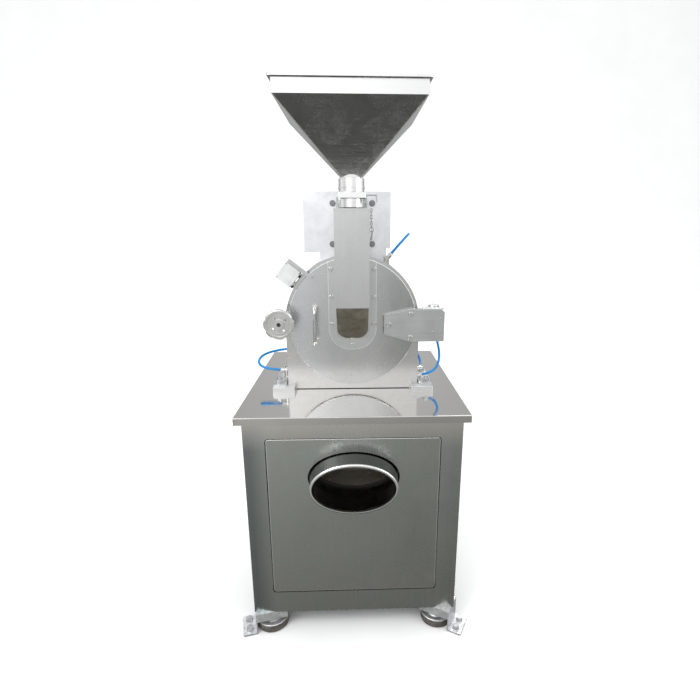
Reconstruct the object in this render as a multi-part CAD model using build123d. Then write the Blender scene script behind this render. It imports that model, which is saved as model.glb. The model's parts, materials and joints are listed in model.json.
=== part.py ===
"""Hammer mill (universal pulveriser) on a cabinet: one STEP file per separate piece.

Millimetres, +Z up, the operator's side faces -Y, the origin is under the middle
of the bounding box on the floor.
"""
import math
import os

from build123d import *

os.makedirs("parts", exist_ok=True)

# ---------------------------------------------------------------- driving sizes
TABLE_W = 620.0        # table width, X
TABLE_Y0 = -308.5      # table front edge
TABLE_Y1 = 368.5       # table back edge
TABLE_T = 20.0         # table slab
Z_TABLE = 670.0        # working height of the table
CAB_HW = 289.5         # half width of the cabinet
CAB_Y0 = -304.0        # cabinet front face
CAB_Y1 = 350.0         # cabinet back face
Z_CAB = 66.0           # underside of the cabinet
SHEET = 2.0            # cabinet sheet
PANEL_HW = 230.5       # half width of the front panel
PANEL_Z0, PANEL_Z1 = 135.0, 607.0
PANEL_GAP = 2.2
SPOUT_Z = 495.0        # middle of the discharge spout
SPOUT_A, SPOUT_B = 111.0, 67.0     # outer half axes of the oval tube
SPOUT_T = 2.5
SPOUT_BEAD = 3.6
SPOUT_Y0 = -368.5      # mouth of the spout
Z_AXIS = 876.0         # rotor axis
R_SHELL = 195.0        # outer radius of the grinding chamber
R_BORE = 160.0         # inner radius of the grinding chamber
CH_Y0 = -83.0          # front of the chamber
CH_PLATE = 10.0        # front and back plates of the chamber
CH_Y1 = 27.0           # back of the chamber
R_DOOR = 186.0
DOOR_T = 8.0
DOOR_Y1 = -85.3        # back face of the door plate
DOOR_Y0 = DOOR_Y1 - DOOR_T
HINGE_X, HINGE_Y = 241.0, -58.0    # door hinge axis
HINGE_R = 7.0
FEED_Y = -138.0        # middle of the feed chute, neck and hopper
CHUTE_HW = 46.0
CHUTE_Y0 = -183.0
CHUTE_Z0, CHUTE_Z1, CHUTE_TOP = 828.0, 932.0, 1190.0
NECK_R = 34.0
HOP_HX, HOP_HY = 174.5, 152.0      # half sizes of the hopper skirt
HOP_Z0, HOP_Z1, HOP_Z2 = 1265.0, 1427.0, 1466.5
MOTOR_Z = 250.0
PULLEY_Y0, PULLEY_Y1 = 250.0, 306.0
R_ROTOR_PULLEY, R_MOTOR_PULLEY = 65.0, 85.0
FOOT_X, FOOT_Y0, FOOT_Y1 = 245.0, -268.0, 292.0
GAP = 0.3              # clearance between bodies


# ---------------------------------------------------------------- helpers
def bx(x0, x1, y0, y1, z0, z1):
    return Pos((x0 + x1) / 2, (y0 + y1) / 2, (z0 + z1) / 2) * Box(abs(x1 - x0), abs(y1 - y0), abs(z1 - z0))


def cyl_z(x, y, r, z0, z1):
    return Pos(x, y, (z0 + z1) / 2) * Cylinder(r, abs(z1 - z0))


def cyl_y(x, z, r, y0, y1):
    return Pos(x, (y0 + y1) / 2, z) * Rot(90, 0, 0) * Cylinder(r, abs(y1 - y0))


def cyl_x(y, z, r, x0, x1):
    return Pos((x0 + x1) / 2, y, z) * Rot(0, 90, 0) * Cylinder(r, abs(x1 - x0))


def face_of(pts):
    return make_face(Polyline([Vector(*p) for p in pts], close=True))


def prism_y(pts, y0, y1):
    return extrude(face_of([(x, y0, z) for x, z in pts]), amount=y1 - y0, dir=(0, 1, 0))


def prism_x(pts, x0, x1):
    return extrude(face_of([(x0, y, z) for y, z in pts]), amount=x1 - x0, dir=(1, 0, 0))


def prism_z(pts, z0, z1):
    return extrude(face_of([(x, y, z0) for x, y in pts]), amount=z1 - z0, dir=(0, 0, 1))


def ellipse_y(x, z, a, b, y0, y1):
    """An elliptic cylinder along Y, half axis a across and b up."""
    pl = Plane(origin=(x, y0, z), x_dir=(1, 0, 0), z_dir=(0, 1, 0))
    return extrude(pl * Ellipse(a, b), amount=y1 - y0)


def hex_z(x, y, flats, z0, z1, turn=0.0):
    r = flats / math.sqrt(3)
    return prism_z([(x + r * math.cos(math.radians(60 * i + turn)), y + r * math.sin(math.radians(60 * i + turn)))
                    for i in range(6)], z0, z1)


def hex_y(x, z, flats, y0, y1, turn=0.0):
    r = flats / math.sqrt(3)
    return prism_y([(x + r * math.cos(math.radians(60 * i + turn)), z + r * math.sin(math.radians(60 * i + turn)))
                    for i in range(6)], y0, y1)


def soften(shape, edges, r):
    """Fillets the edges where the kernel can, and leaves them sharp where it cannot."""
    try:
        return fillet(edges, r)
    except Exception:
        return shape


def bevel(shape, edges, r):
    try:
        return chamfer(edges, r)
    except Exception:
        return shape


def save(node, *shapes):
    solids = []
    for s in shapes:
        solids += list(s.solids())
    item = solids[0] if len(solids) == 1 else Compound(children=solids)
    item.label = node
    export_step(item, os.path.join("parts", node + ".step"))
    b = item.bounding_box()
    print(f"{node:24s} {len(solids):3d} solids  x {b.min.X:8.1f} {b.max.X:8.1f}  y {b.min.Y:8.1f} {b.max.Y:8.1f}"
          f"  z {b.min.Z:8.1f} {b.max.Z:8.1f}")


# ---------------------------------------------------------------- table and cabinet
HT = TABLE_W / 2
slab = bx(-HT, HT, TABLE_Y0, TABLE_Y1, Z_TABLE - TABLE_T, Z_TABLE)
slab = soften(slab, slab.edges().filter_by(Axis.Z), 4.0)
slab = soften(slab, slab.faces().sort_by(Axis.Z)[-1].edges(), 2.0)
tray = bx(-HT + 24, HT - 24, TABLE_Y0 + 24, TABLE_Y1 - 40, Z_TABLE - TABLE_T - 1, Z_TABLE - 8)
slab = slab - tray
slab = slab - bx(-120, 120, -66, 12, 600, 700)                     # under the screen
slab = slab - bx(-102, 102, PULLEY_Y0 - 6, PULLEY_Y1 + 6, 600, 700)  # for the belts
save("table_top", slab)

zc = Z_TABLE - TABLE_T


def side_panel(s):
    xo, xi = s * CAB_HW, s * (CAB_HW - SHEET)
    p = bx(xo, xi, CAB_Y0, CAB_Y1, Z_CAB, zc)
    for i in range(8):   # cooling louvre slots towards the back
        y = 150 + i * 20
        p = p - bx(xo + s, xi - s, y, y + 6, 180, 300)
    return p


save("cabinet_side_left", side_panel(-1))
save("cabinet_side_right", side_panel(1))

back = bx(-CAB_HW + SHEET, CAB_HW - SHEET, CAB_Y1 - SHEET, CAB_Y1, Z_CAB, zc)
for i in range(9):
    x = -120 + i * 30
    back = back - bx(x - 4, x + 4, CAB_Y1 - 5, CAB_Y1 + 5, 170, 330)
save("cabinet_back", back)

# front frame: one folded sheet around the panel opening, with a rebate flange behind it
fx = CAB_HW - SHEET
ox, oz0, oz1 = PANEL_HW + PANEL_GAP, PANEL_Z0 - PANEL_GAP, PANEL_Z1 + PANEL_GAP
front = bx(-fx, fx, CAB_Y0, CAB_Y0 + SHEET, Z_CAB, zc)
hole = bx(-ox, ox, CAB_Y0 - 5, CAB_Y0 + 40, oz0, oz1)
hole = soften(hole, hole.edges().filter_by(Axis.Y), 9.0)
ret = bx(-ox - 2, ox + 2, CAB_Y0 + SHEET, CAB_Y0 + 18, oz0 - 2, oz1 + 2)
ret = soften(ret, ret.edges().filter_by(Axis.Y), 11.0)
front = front + ret - hole
save("cabinet_front_frame", front)

# lift-off front panel: a shallow tray with the oval clearance hole for the spout
pan = bx(-PANEL_HW, PANEL_HW, CAB_Y0, CAB_Y0 + 14, PANEL_Z0, PANEL_Z1)
pan = soften(pan, pan.edges().filter_by(Axis.Y), 7.0)
pan = soften(pan, pan.faces().sort_by(Axis.Y)[0].edges(), 1.0)
pan_in = bx(-PANEL_HW + 1.5, PANEL_HW - 1.5, CAB_Y0 + 1.5, CAB_Y0 + 20, PANEL_Z0 + 1.5, PANEL_Z1 - 1.5)
pan_in = soften(pan_in, pan_in.edges().filter_by(Axis.Y), 5.5)
pan = pan - pan_in
pan = pan - ellipse_y(0, SPOUT_Z, 123.5, 74.5, CAB_Y0 - 10, CAB_Y0 + 30)
save("front_panel", pan)

# base frame and posts: separate square tubes that butt against each other
bf = []


def tube(x0, x1, y0, y1, z0, z1, along, wall=3.0):
    """A square steel tube, open at both ends along the given axis."""
    lo, hi = [min(x0, x1), min(y0, y1), z0], [max(x0, x1), max(y0, y1), z1]
    out = bx(lo[0], hi[0], lo[1], hi[1], lo[2], hi[2])
    for i in range(3):
        lo[i], hi[i] = (lo[i] - 5, hi[i] + 5) if i == along else (lo[i] + wall, hi[i] - wall)
    return out - bx(lo[0], hi[0], lo[1], hi[1], lo[2], hi[2])


i0 = CAB_HW - SHEET
for s in (-1, 1):
    bf.append(tube(s * i0, s * (i0 - 40), -286, 348, Z_CAB, Z_CAB + 40, 1))
for y in (-286, 308):
    bf.append(tube(-i0 + 40, i0 - 40, y, y + 40, Z_CAB, Z_CAB + 40, 0))
for s in (-1, 1):
    for y in (-286, 308):
        bf.append(tube(s * i0, s * (i0 - 40), y, y + 40, Z_CAB + 40, zc, 2))
for s in (-1, 1):    # motor rails
    bf.append(tube(s * 128, s * 88, -246, 308, Z_CAB, Z_CAB + 40, 1))
bf.append(bx(-140, 140, -100, 150, Z_CAB + 40, MOTOR_Z - 132))     # motor plate
save("base_frame", *bf)

# ---------------------------------------------------------------- feet
pads, cups, brackets, fbolts = [], [], [], []
TURN = {(-1, 0): 14.0, (1, 0): -29.0, (-1, 1): -29.0, (1, 1): 14.0}
for (s, k), turn in TURN.items():
    fy = FOOT_Y0 if k == 0 else FOOT_Y1
    pad = cyl_z(0, 0, 46.0, 0, 23)
    pad = soften(pad, pad.edges().sort_by(Axis.Z)[:1], 5.0)
    for i in range(36):     # ribs round the rubber
        a = math.radians(i * 10)
        pad = pad - cyl_z(47.6 * math.cos(a), 47.6 * math.sin(a), 2.6, 6, 20)
    cup = cyl_z(0, 0, 46.5, 23, 27)
    cup = soften(cup, cup.edges(), 1.6)
    cup = cup - cyl_z(0, 0, 40.5, 25.0, 30)
    cup = cup + Pos(0, 0, 31) * Cone(30, 14, 12)
    cup = cup + cyl_z(0, 0, 8, 30, 60) + hex_z(0, 0, 24, 37, 50)
    # bracket: top plate under the frame, front web, upstand and an ear plate with two bolts
    top = bx(-50.5, 40, -38, 36, 61, 66)
    web = bx(-50.5, 40, -38, -35, 40, 66)
    up = bx(-50.5, -47.5, -38, 36, 1.5, 66)
    ear = bx(-88, -48, -38, 33, 1.5, 5.5)
    ear = soften(ear, ear.edges().filter_by(Axis.Z), 4.0)
    br = top + web + up + ear
    br = br - cyl_z(0, 0, 8.0, 55, 70)
    b1 = hex_z(-69, 15, 16, 7.5, 16.0, 10) + cyl_z(-69, 15, 10.5, 5.5, 7.5)
    b2 = hex_z(-69, -20, 16, 7.5, 16.0, 25) + cyl_z(-69, -20, 10.5, 5.5, 7.5)
    br = br - cyl_z(-69, 15, 4.4, 0, 8) - cyl_z(-69, -20, 4.4, 0, 8)
    bo = [b1 + cyl_z(-69, 15, 4.4, 0.4, 6), b2 + cyl_z(-69, -20, 4.4, 0.4, 6)]
    flip = Rot(0, 0, turn)
    place = Pos(s * FOOT_X, fy, 0)
    items = {"p": pad, "c": cup, "b": br, "o1": bo[0], "o2": bo[1]}
    for key, it in items.items():
        if s > 0:
            it = mirror(it, about=Plane.YZ)
        if k == 1:
            it = mirror(it, about=Plane.XZ)
        it = place * (flip * it)
        if key == "p":
            pads.append(it)
        elif key == "c":
            cups.append(it)
        elif key == "b":
            brackets.append(it)
        else:
            fbolts.append(it)
save("foot_pads", *pads)
save("foot_cups", *cups)
save("foot_brackets", *brackets)
save("foot_bracket_bolts", *fbolts)

# ---------------------------------------------------------------- discharge hopper and spout
dh_out = [(-82, 650), (22, 650), (22, 560), (-140, 425), (-238, 425), (-238, 566), (-82, 604)]
dh_in = [(-79, 660), (19, 660), (19, 561.4), (-141.1, 428), (-235, 428), (-235, 563.6), (-79, 601.6)]
dh = prism_x(dh_out, -133, 133) - prism_x(dh_in, -130, 130)
dh = dh + (bx(-150, 150, -98, 38, 647, 650) - bx(-130, 130, -79, 19, 640, 655))
dh = dh - ellipse_y(0, SPOUT_Z, SPOUT_A - SPOUT_T, SPOUT_B - SPOUT_T, -245, -230)
save("discharge_hopper", dh)

def oval_tube(sections):
    """A solid run of ellipses (half axis across, half axis up, Y) joined by straight sides."""
    return loft([Plane(origin=(0, y, SPOUT_Z), x_dir=(1, 0, 0), z_dir=(0, -1, 0)) * Ellipse(a, b) for a, b, y in sections], ruled=True)


sp = oval_tube([(SPOUT_A, SPOUT_B, SPOUT_Y0 + 1.0), (121.3, 72.6, -286), (121.3, 72.6, -238)])
bead = ellipse_y(0, SPOUT_Z, SPOUT_A + SPOUT_BEAD, SPOUT_B + SPOUT_BEAD, SPOUT_Y0, SPOUT_Y0 + 8)
bead = soften(bead, bead.edges(), 3.2)
sp = (sp + bead) - oval_tube([(SPOUT_A - SPOUT_T, SPOUT_B - SPOUT_T, SPOUT_Y0 - 0.5), (119.3, 70.6, -286), (119.3, 70.6, -237)])
save("discharge_spout", sp)


# ---------------------------------------------------------------- grinding chamber
def arch(r, y0, y1):
    a = bx(-r, r, y0, y1, Z_TABLE, Z_AXIS)
    return a + cyl_y(0, Z_AXIS, r, y0, y1)


plate = arch(R_SHELL, CH_Y0, CH_Y0 + CH_PLATE)
plate = plate - cyl_y(0, Z_AXIS, R_BORE, CH_Y0 - 5, CH_Y0 + 20)
save("chamber_front_plate", plate)

s0, s1 = CH_Y0 + CH_PLATE, CH_Y1 - CH_PLATE
shell = arch(R_SHELL - 6, s0, s1) - cyl_y(0, Z_AXIS, R_BORE, s0 - 1, s1 + 1)
shell = shell - bx(-120, 120, -66, 12, Z_TABLE - 5, Z_AXIS - 100)
save("chamber_shell", shell)

cback = arch(R_SHELL, s1, CH_Y1) - cyl_y(0, Z_AXIS, 24.0, s1 - 5, CH_Y1 + 5)
save("chamber_back_plate", cback)

RAIL_Y0 = -118.0
rails, rbolts = [], []
for s in (-1, 1):
    r_ = bx(s * 238, s * 195.2, RAIL_Y0, 60, Z_TABLE, Z_TABLE + 16.5)
    r_ = r_ + bx(s * 197, s * 172.5, RAIL_Y0, -84, Z_TABLE, Z_TABLE + 16.5)
    r_ = soften(r_, r_.edges().filter_by(Axis.Z).filter_by(lambda e: abs(e.center().X) > 230), 3.0)
    r_ = bevel(r_, r_.faces().sort_by(Axis.Z)[-1].edges(), 1.0)
    r_ = r_ + bx(s * 236, s * 198, -106, 50, Z_TABLE + 16.5, Z_TABLE + 22.5)
    for y in (-84, 30):
        r_ = r_ - cyl_z(s * 221, y, 6.0, Z_TABLE - 1, Z_TABLE + 30)
        bo = hex_z(s * 221, y, 19, Z_TABLE + 24.5, Z_TABLE + 34, 12 * s) + cyl_z(s * 221, y, 12.5, Z_TABLE + 22.5, Z_TABLE + 24.5)
        bo = bo + cyl_z(s * 221, y, 6.0, Z_TABLE + 0.5, Z_TABLE + 30) + cyl_z(s * 221, y, 5.6, Z_TABLE + 33, Z_TABLE + 40)
        rbolts.append(bo)
    rails.append(r_)
save("chamber_foot_rails", *rails)
save("chamber_foot_bolts", *rbolts)

# toothed liner round the upper part of the bore
pts = []
N = 44
for i in range(N + 1):
    a = math.radians(-24 + 228 * i / N)
    r = 151.0 if i % 2 else 155.0
    pts.append((r * math.cos(a), Z_AXIS + r * math.sin(a)))
for i in range(N + 1):
    a = math.radians(-24 + 228 * (N - i) / N)
    pts.append((R_BORE * 0.9995 * math.cos(a), Z_AXIS + R_BORE * 0.9995 * math.sin(a)))
save("toothed_liner", prism_y(pts, s0 + 0.5, s1 - 0.5))

# sieve screen round the lower part
A0, A1, M = 207.5, 332.5, 40
pts = []
for i in range(M + 1):
    a = math.radians(A0 + (A1 - A0) * i / M)
    pts.append((152.0 * math.cos(a), Z_AXIS + 152.0 * math.sin(a)))
for i in range(M + 1):
    a = math.radians(A1 - (A1 - A0) * i / M)
    pts.append((154.0 * math.cos(a), Z_AXIS + 154.0 * math.sin(a)))
screen = prism_y(pts, s0 + 0.5, s1 - 0.5)
drill = None
for i in range(11):
    a = 224 + 92 * i / 10
    for y in (-54, -36, -18, 0):
        d = Pos(153 * math.cos(math.radians(a)), y, Z_AXIS + 153 * math.sin(math.radians(a))) * Rot(0, 90 - a, 0) * Cylinder(3.0, 8)
        drill = d if drill is None else drill + d
screen = screen - drill
save("sieve_screen", screen)

# ---------------------------------------------------------------- bearing housing
bh = bx(-85, 85, 48, 222, Z_TABLE, Z_TABLE + 18)
bh = soften(bh, bh.edges().filter_by(Axis.Z), 12.0)
bh = bh + prism_y([(-60, Z_TABLE + 18), (60, Z_TABLE + 18), (42, Z_AXIS), (-42, Z_AXIS)], 62, 208)
bh = bh + cyl_y(0, Z_AXIS, 54, 52, 218) + cyl_y(0, Z_AXIS, 60, 48, 60) + cyl_y(0, Z_AXIS, 60, 210, 222)
bh = bh + cyl_y(0, Z_AXIS, 40, CH_Y1, 50)
bh = bh - cyl_y(0, Z_AXIS, 24.0, 20, 230) - cyl_y(0, Z_AXIS, 40, 52, 74) - cyl_y(0, Z_AXIS, 40, 196, 218)
bh = bh - cyl_y(0, Z_AXIS, 34, 74, 196)
for x in (-70, 70):
    for y in (62, 208):
        bh = bh - cyl_z(x, y, 7, Z_TABLE - 1, Z_TABLE + 20)
        bh = bh + cyl_z(x, y, 7, Z_TABLE, Z_TABLE + 18) + hex_z(x, y, 19, Z_TABLE + 18, Z_TABLE + 27)
save("bearing_housing", bh)
bear = [cyl_y(0, Z_AXIS, 40, y, y + 22) - cyl_y(0, Z_AXIS, 20.05, y - 1, y + 23) for y in (52, 196)]
save("bearings", *bear)

# ---------------------------------------------------------------- rotor
shaft = cyl_y(0, Z_AXIS, 20, -64, 312) + hex_y(0, Z_AXIS, 36, -74, -64) + cyl_y(0, Z_AXIS, 12, -78, -74)
shaft = bevel(shaft, shaft.edges().sort_by(Axis.Y)[-1:], 2.0)
save("rotor_shaft", shaft)

rd = cyl_y(0, Z_AXIS, 100, -62, -55) + cyl_y(0, Z_AXIS, 100, -7, 0) + cyl_y(0, Z_AXIS, 32, -62, 4)
for i in range(4):
    a = math.radians(45 + 90 * i)
    rd = rd + cyl_y(80 * math.cos(a), Z_AXIS + 80 * math.sin(a), 6.0, -64, 2)
rd = rd - cyl_y(0, Z_AXIS, 20.0, -70, 10)
save("rotor_discs", rd)

for i in range(4):
    a = 45 + 90 * i
    hm = cyl_y(0, 0, 11, -54.5, -7.5)
    for y in (-52.0, -34.5, -17.0):
        hm = hm + bx(-14, 58, y, y + 7, -17, 17)
    hm = bevel(hm, hm.faces().sort_by(Axis.X)[-1].edges(), 0.8)
    hm = hm - cyl_y(0, 0, 6.05, -60, 0)
    hm = Rot(0, 90, 0) * hm          # hanging straight down
    hm = Pos(80 * math.cos(math.radians(a)), 0, Z_AXIS + 80 * math.sin(math.radians(a))) * hm
    save(f"hammer_pack_{i + 1}", hm)


# ---------------------------------------------------------------- drive
def pulley(z, ro, bore, y0, y1, hub):
    p = cyl_y(0, z, ro, y0, y1)
    for i in range(3):
        yc = y0 + 10 + 18 * i
        p = p - (cyl_y(0, z, ro + 5, yc - 7, yc + 7) - cyl_y(0, z, ro - 10, yc - 8, yc + 8))
    p = p - (cyl_y(0, z, ro - 16, y0 - 1, y0 + 14) - cyl_y(0, z, hub, y0 - 2, y0 + 15))
    p = p - (cyl_y(0, z, ro - 16, y1 - 14, y1 + 1) - cyl_y(0, z, hub, y1 - 15, y1 + 2))
    return p - cyl_y(0, z, bore, y0 - 5, y1 + 5)


save("rotor_pulley", pulley(Z_AXIS, R_ROTOR_PULLEY, 20.0, PULLEY_Y0, PULLEY_Y1, 32))
save("motor_pulley", pulley(MOTOR_Z, R_MOTOR_PULLEY, 19.0, PULLEY_Y0, PULLEY_Y1, 34))


def loop(dr, y0, y1):
    """A belt-shaped band of pitch radii plus dr, flat on XZ."""
    r1, r2, d = R_ROTOR_PULLEY + dr, R_MOTOR_PULLEY + dr, Z_AXIS - MOTOR_Z
    s = (r2 - r1) / d
    c = math.sqrt(1 - s * s)
    body = prism_y([(r1 * c, Z_AXIS + r1 * s), (-r1 * c, Z_AXIS + r1 * s), (-r2 * c, MOTOR_Z + r2 * s), (r2 * c, MOTOR_Z + r2 * s)], y0, y1)
    return body + cyl_y(0, Z_AXIS, r1, y0, y1) + cyl_y(0, MOTOR_Z, r2, y0, y1)


belts = []
for i in range(3):
    yc = PULLEY_Y0 + 10 + 18 * i
    belts.append(loop(-0.4, yc - 6.5, yc + 6.5) - loop(-9.4, yc - 8, yc + 8))
save("v_belts", *belts)

mb = cyl_y(0, MOTOR_Z, 118, -120, 172)
for i in range(30):     # cooling fins
    a = math.radians(i * 12)
    if abs(math.sin(a)) < 0.97 or math.sin(a) > 0:
        mb = mb + Pos(0, 26, MOTOR_Z) * Rot(0, math.degrees(a), 0) * Pos(121, 0, 0) * Box(14, 260, 3.2)
mb = mb + cyl_y(0, MOTOR_Z, 126, 160, 190) + cyl_y(0, MOTOR_Z, 60, 190, 200)
mb = mb + cyl_y(0, MOTOR_Z, 124, -168, -108)      # fan cover
mb = mb + bx(-108, 108, -80, 130, MOTOR_Z - 132, MOTOR_Z - 112) + bx(-60, 60, -80, 130, MOTOR_Z - 120, MOTOR_Z - 90)
mb = mb - cyl_y(0, MOTOR_Z, 21, 150, 210)
mb = mb - bx(-150, 150, -300, 300, 0, MOTOR_Z - 132)
save("motor_body", mb)
ms = cyl_y(0, MOTOR_Z, 19.0, 152, 310)
save("motor_shaft", ms)
tb = bx(-50, 50, 60, 150, MOTOR_Z + 124, MOTOR_Z + 170)
tb = soften(tb, tb.edges().filter_by(Axis.Z), 6.0) + bx(-32, 32, 76, 134, MOTOR_Z + 110, MOTOR_Z + 126) - cyl_y(0, MOTOR_Z, 118.5, 50, 160)
for i in range(30):
    a = math.radians(i * 12)
    if math.sin(a) < -0.85:
        tb = tb - Pos(0, 26, MOTOR_Z) * Rot(0, math.degrees(a), 0) * Pos(121, 0, 0) * Box(14.4, 262, 3.6)
tb = tb + cyl_x(100, MOTOR_Z + 148, 9, 50, 66)
save("motor_terminal_box", tb)


def guard(r, y0, y1, z0):
    return bx(-r, r, y0, y1, z0, Z_AXIS) + cyl_y(0, Z_AXIS, r, y0, y1)


bg = guard(112, 234, 332, Z_TABLE) - guard(110, 236, 330, Z_TABLE - 5)
bg = bg - cyl_y(0, Z_AXIS, 30, 230, 240)
bg = bg + (bx(-130, 130, 234, 332, Z_TABLE, Z_TABLE + 3) - bx(-110, 110, 236, 330, Z_TABLE - 5, Z_TABLE + 10))
save("belt_guard", bg)

# ---------------------------------------------------------------- support plate and hopper bracket
SP_Y0, SP_Y1 = -12.5, -8.5
sup = bx(-141, 113.5, SP_Y0, SP_Y1, 1072, 1243.5)
sup = soften(sup, [e for e in sup.edges().filter_by(Axis.Y) if e.center().Z > 1200], 3.0)
sup = sup - bx(101.6, 130, SP_Y0 - 2, SP_Y1 + 2, 1060, 1084)
sup = sup + bx(-95, 101.6, SP_Y0, SP_Y1, 1030, 1084)
sup = sup + bx(-141, -138, SP_Y1, 24, 1072, 1243.5) + bx(110.5, 113.5, SP_Y1, 24, 1084, 1243.5)
sup = sup + bx(-141, 113.5, SP_Y1, 24, 1240.5, 1243.5)
sup = sup + bx(-95, 101.6, SP_Y0, SP_Y0 + 8, 1030, 1066)
sup = sup - cyl_y(0, Z_AXIS, R_SHELL - 6, SP_Y0 - 10, SP_Y1 + 60)
save("support_plate", sup)

# bracket: a plate on the front of the support plate with two arms out to the gate flange
hb = bx(-45, 45, SP_Y0 - 4, SP_Y0, 1084, 1226)
for s in (-1, 1):
    hb = hb + prism_x([(SP_Y0 - 4, 1195), (SP_Y0 - 4, 1216), (FEED_Y + 20, 1216), (FEED_Y + 20, 1206), (-70, 1198)], s * 37, s * 33)
save("hopper_bracket", hb)
sb = []
for x, z in ((-57, 1095.5), (59.5, 1095.5), (-55, 1210.5), (59.5, 1210.5)):
    sb.append(hex_y(x, z, 13, SP_Y0 - 7, SP_Y0 - 1.5, 20) + cyl_y(x, z, 9.0, SP_Y0 - 1.5, SP_Y0) + cyl_y(x, z, 4.0, SP_Y0 - 9.5, SP_Y0 - 6))
save("support_plate_bolts", *sb)


# ---------------------------------------------------------------- hopper, neck and slide gate
def pyramid(h0x, h0y, h1x, h1y, z0, z1):
    a = Plane(origin=(0, FEED_Y, z0)) * Rectangle(2 * h0x, 2 * h0y)
    b = Plane(origin=(0, FEED_Y, z1)) * Rectangle(2 * h1x, 2 * h1y)
    return loft([a, b])


hop = pyramid(24.5, 24.5, HOP_HX, HOP_HY, HOP_Z0, HOP_Z1) + bx(-HOP_HX, HOP_HX, FEED_Y - HOP_HY, FEED_Y + HOP_HY, HOP_Z1, HOP_Z2)
lip = bx(-HOP_HX - 7.5, HOP_HX + 7.5, FEED_Y - HOP_HY - 7.5, FEED_Y + HOP_HY + 7.5, HOP_Z2 - 6.5, HOP_Z2)
lip = soften(lip, lip.edges().filter_by(Axis.Z), 6.0)
lip = soften(lip, lip.faces().sort_by(Axis.Z)[-1].edges(), 2.0)
lip_in = bx(-HOP_HX - 5.5, HOP_HX + 5.5, FEED_Y - HOP_HY - 5.5, FEED_Y + HOP_HY + 5.5, HOP_Z2 - 20, HOP_Z2 - 2)
lip_in = soften(lip_in, lip_in.edges().filter_by(Axis.Z), 4.0)
hop = hop + (lip - lip_in)
t = 2.0
hin = pyramid(24.5 - t, 24.5 - t, HOP_HX - t, HOP_HY - t, HOP_Z0, HOP_Z1 + 0.8)
hin = hin + bx(-HOP_HX + t, HOP_HX - t, FEED_Y - HOP_HY + t, FEED_Y + HOP_HY - t, HOP_Z1 + 0.8, HOP_Z2 + 10)
hin = hin + bx(-22.5, 22.5, FEED_Y - 22.5, FEED_Y + 22.5, HOP_Z0 - 5, HOP_Z0 + 1)
save("hopper", hop - hin)

GZ = 1222.2       # underside of the blade
nk = cyl_z(0, FEED_Y, NECK_R, 1229, HOP_Z0) + bx(-37.5, 37.5, FEED_Y - 37.5, FEED_Y + 37.5, GZ + 3.1, GZ + 7.6)
nk = soften(nk, nk.edges().filter_by(Axis.Z).filter_by(lambda e: abs(e.center().X) > 36), 4.0)
nk = nk + cyl_z(0, FEED_Y, NECK_R + 2.2, 1241, 1243)
nk = nk - bx(-21, 21, FEED_Y - 21, FEED_Y + 21, HOP_Z0 - 3, HOP_Z0 + 5) - cyl_z(0, FEED_Y, NECK_R - 2.5, GZ, HOP_Z0 - 2)
nk = nk - cyl_z(0, FEED_Y, 22.4, HOP_Z0 - 4, HOP_Z0 + 1)
save("hopper_neck", nk)

gh = bx(-37.5, 37.5, FEED_Y - 37.5, FEED_Y + 37.5, GZ - 6.2, GZ - GAP)
gh = soften(gh, gh.edges().filter_by(Axis.Z), 4.0)
gh = gh + cyl_z(0, FEED_Y, NECK_R, 1193, GZ - 5)
for s in (-1, 1):     # side guides for the blade
    gh = gh + bx(-37.5, 37.5, FEED_Y + s * 37.5, FEED_Y + s * 34.8, GZ - 2, GZ + 3.1)
gh = gh - cyl_z(0, FEED_Y, NECK_R - 2.5, 1190, GZ + 2)
gh = gh + cyl_y(-31, GZ - 9.0, 3.2, FEED_Y - 37.5, FEED_Y - 34)
save("gate_housing", gh)

gs = bx(-34, 40, FEED_Y - 34.2, FEED_Y + 34.2, GZ, GZ + 2.8)
gs = gs + bx(39, 66, FEED_Y - 34.2, FEED_Y - 10, GZ, GZ + 2.8) + bx(63.5, 66, FEED_Y - 34.2, FEED_Y - 10, GZ - 16, GZ + 2.8)
gs = soften(gs, [e for e in gs.edges().filter_by(Axis.Y) if e.center().X > 65 and e.center().Z > GZ + 2], 2.0)
save("gate_slide", gs)

# ---------------------------------------------------------------- door
door = cyl_y(0, Z_AXIS, R_DOOR, DOOR_Y0, DOOR_Y1)
lug = bx(-228, -150, DOOR_Y0, DOOR_Y1, 862, 907)
lug = soften(lug, [e for e in lug.edges().filter_by(Axis.Y) if e.center().X < -200], 12.0)
door = door + lug
door = bevel(door, [e for e in door.faces().sort_by(Axis.Y)[0].outer_wire().edges()], 1.0)
CLX, CLZ = -202.5, 884.5
door = door + cyl_y(CLX, CLZ, 15, DOOR_Y0 - 12, DOOR_Y0)
door = door - cyl_y(CLX, CLZ, 8.06, DOOR_Y0 - 20, DOOR_Y1 + 5)
door = door - bx(-38, 38, DOOR_Y0 - 5, DOOR_Y1 + 5, 838, 926)
save("door_plate", door)

save("door_gasket", cyl_y(0, Z_AXIS, 175, DOOR_Y1, CH_Y0 - GAP) - cyl_y(0, Z_AXIS, 164, DOOR_Y1 - 5, CH_Y0 + 5))


def u_shape(hw, z0, z1, r, y0, y1):
    s = bx(-hw, hw, y0, y1, z0, z1)
    return soften(s, [e for e in s.edges().filter_by(Axis.Y) if e.center().Z < z0 + 1], r)


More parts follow.
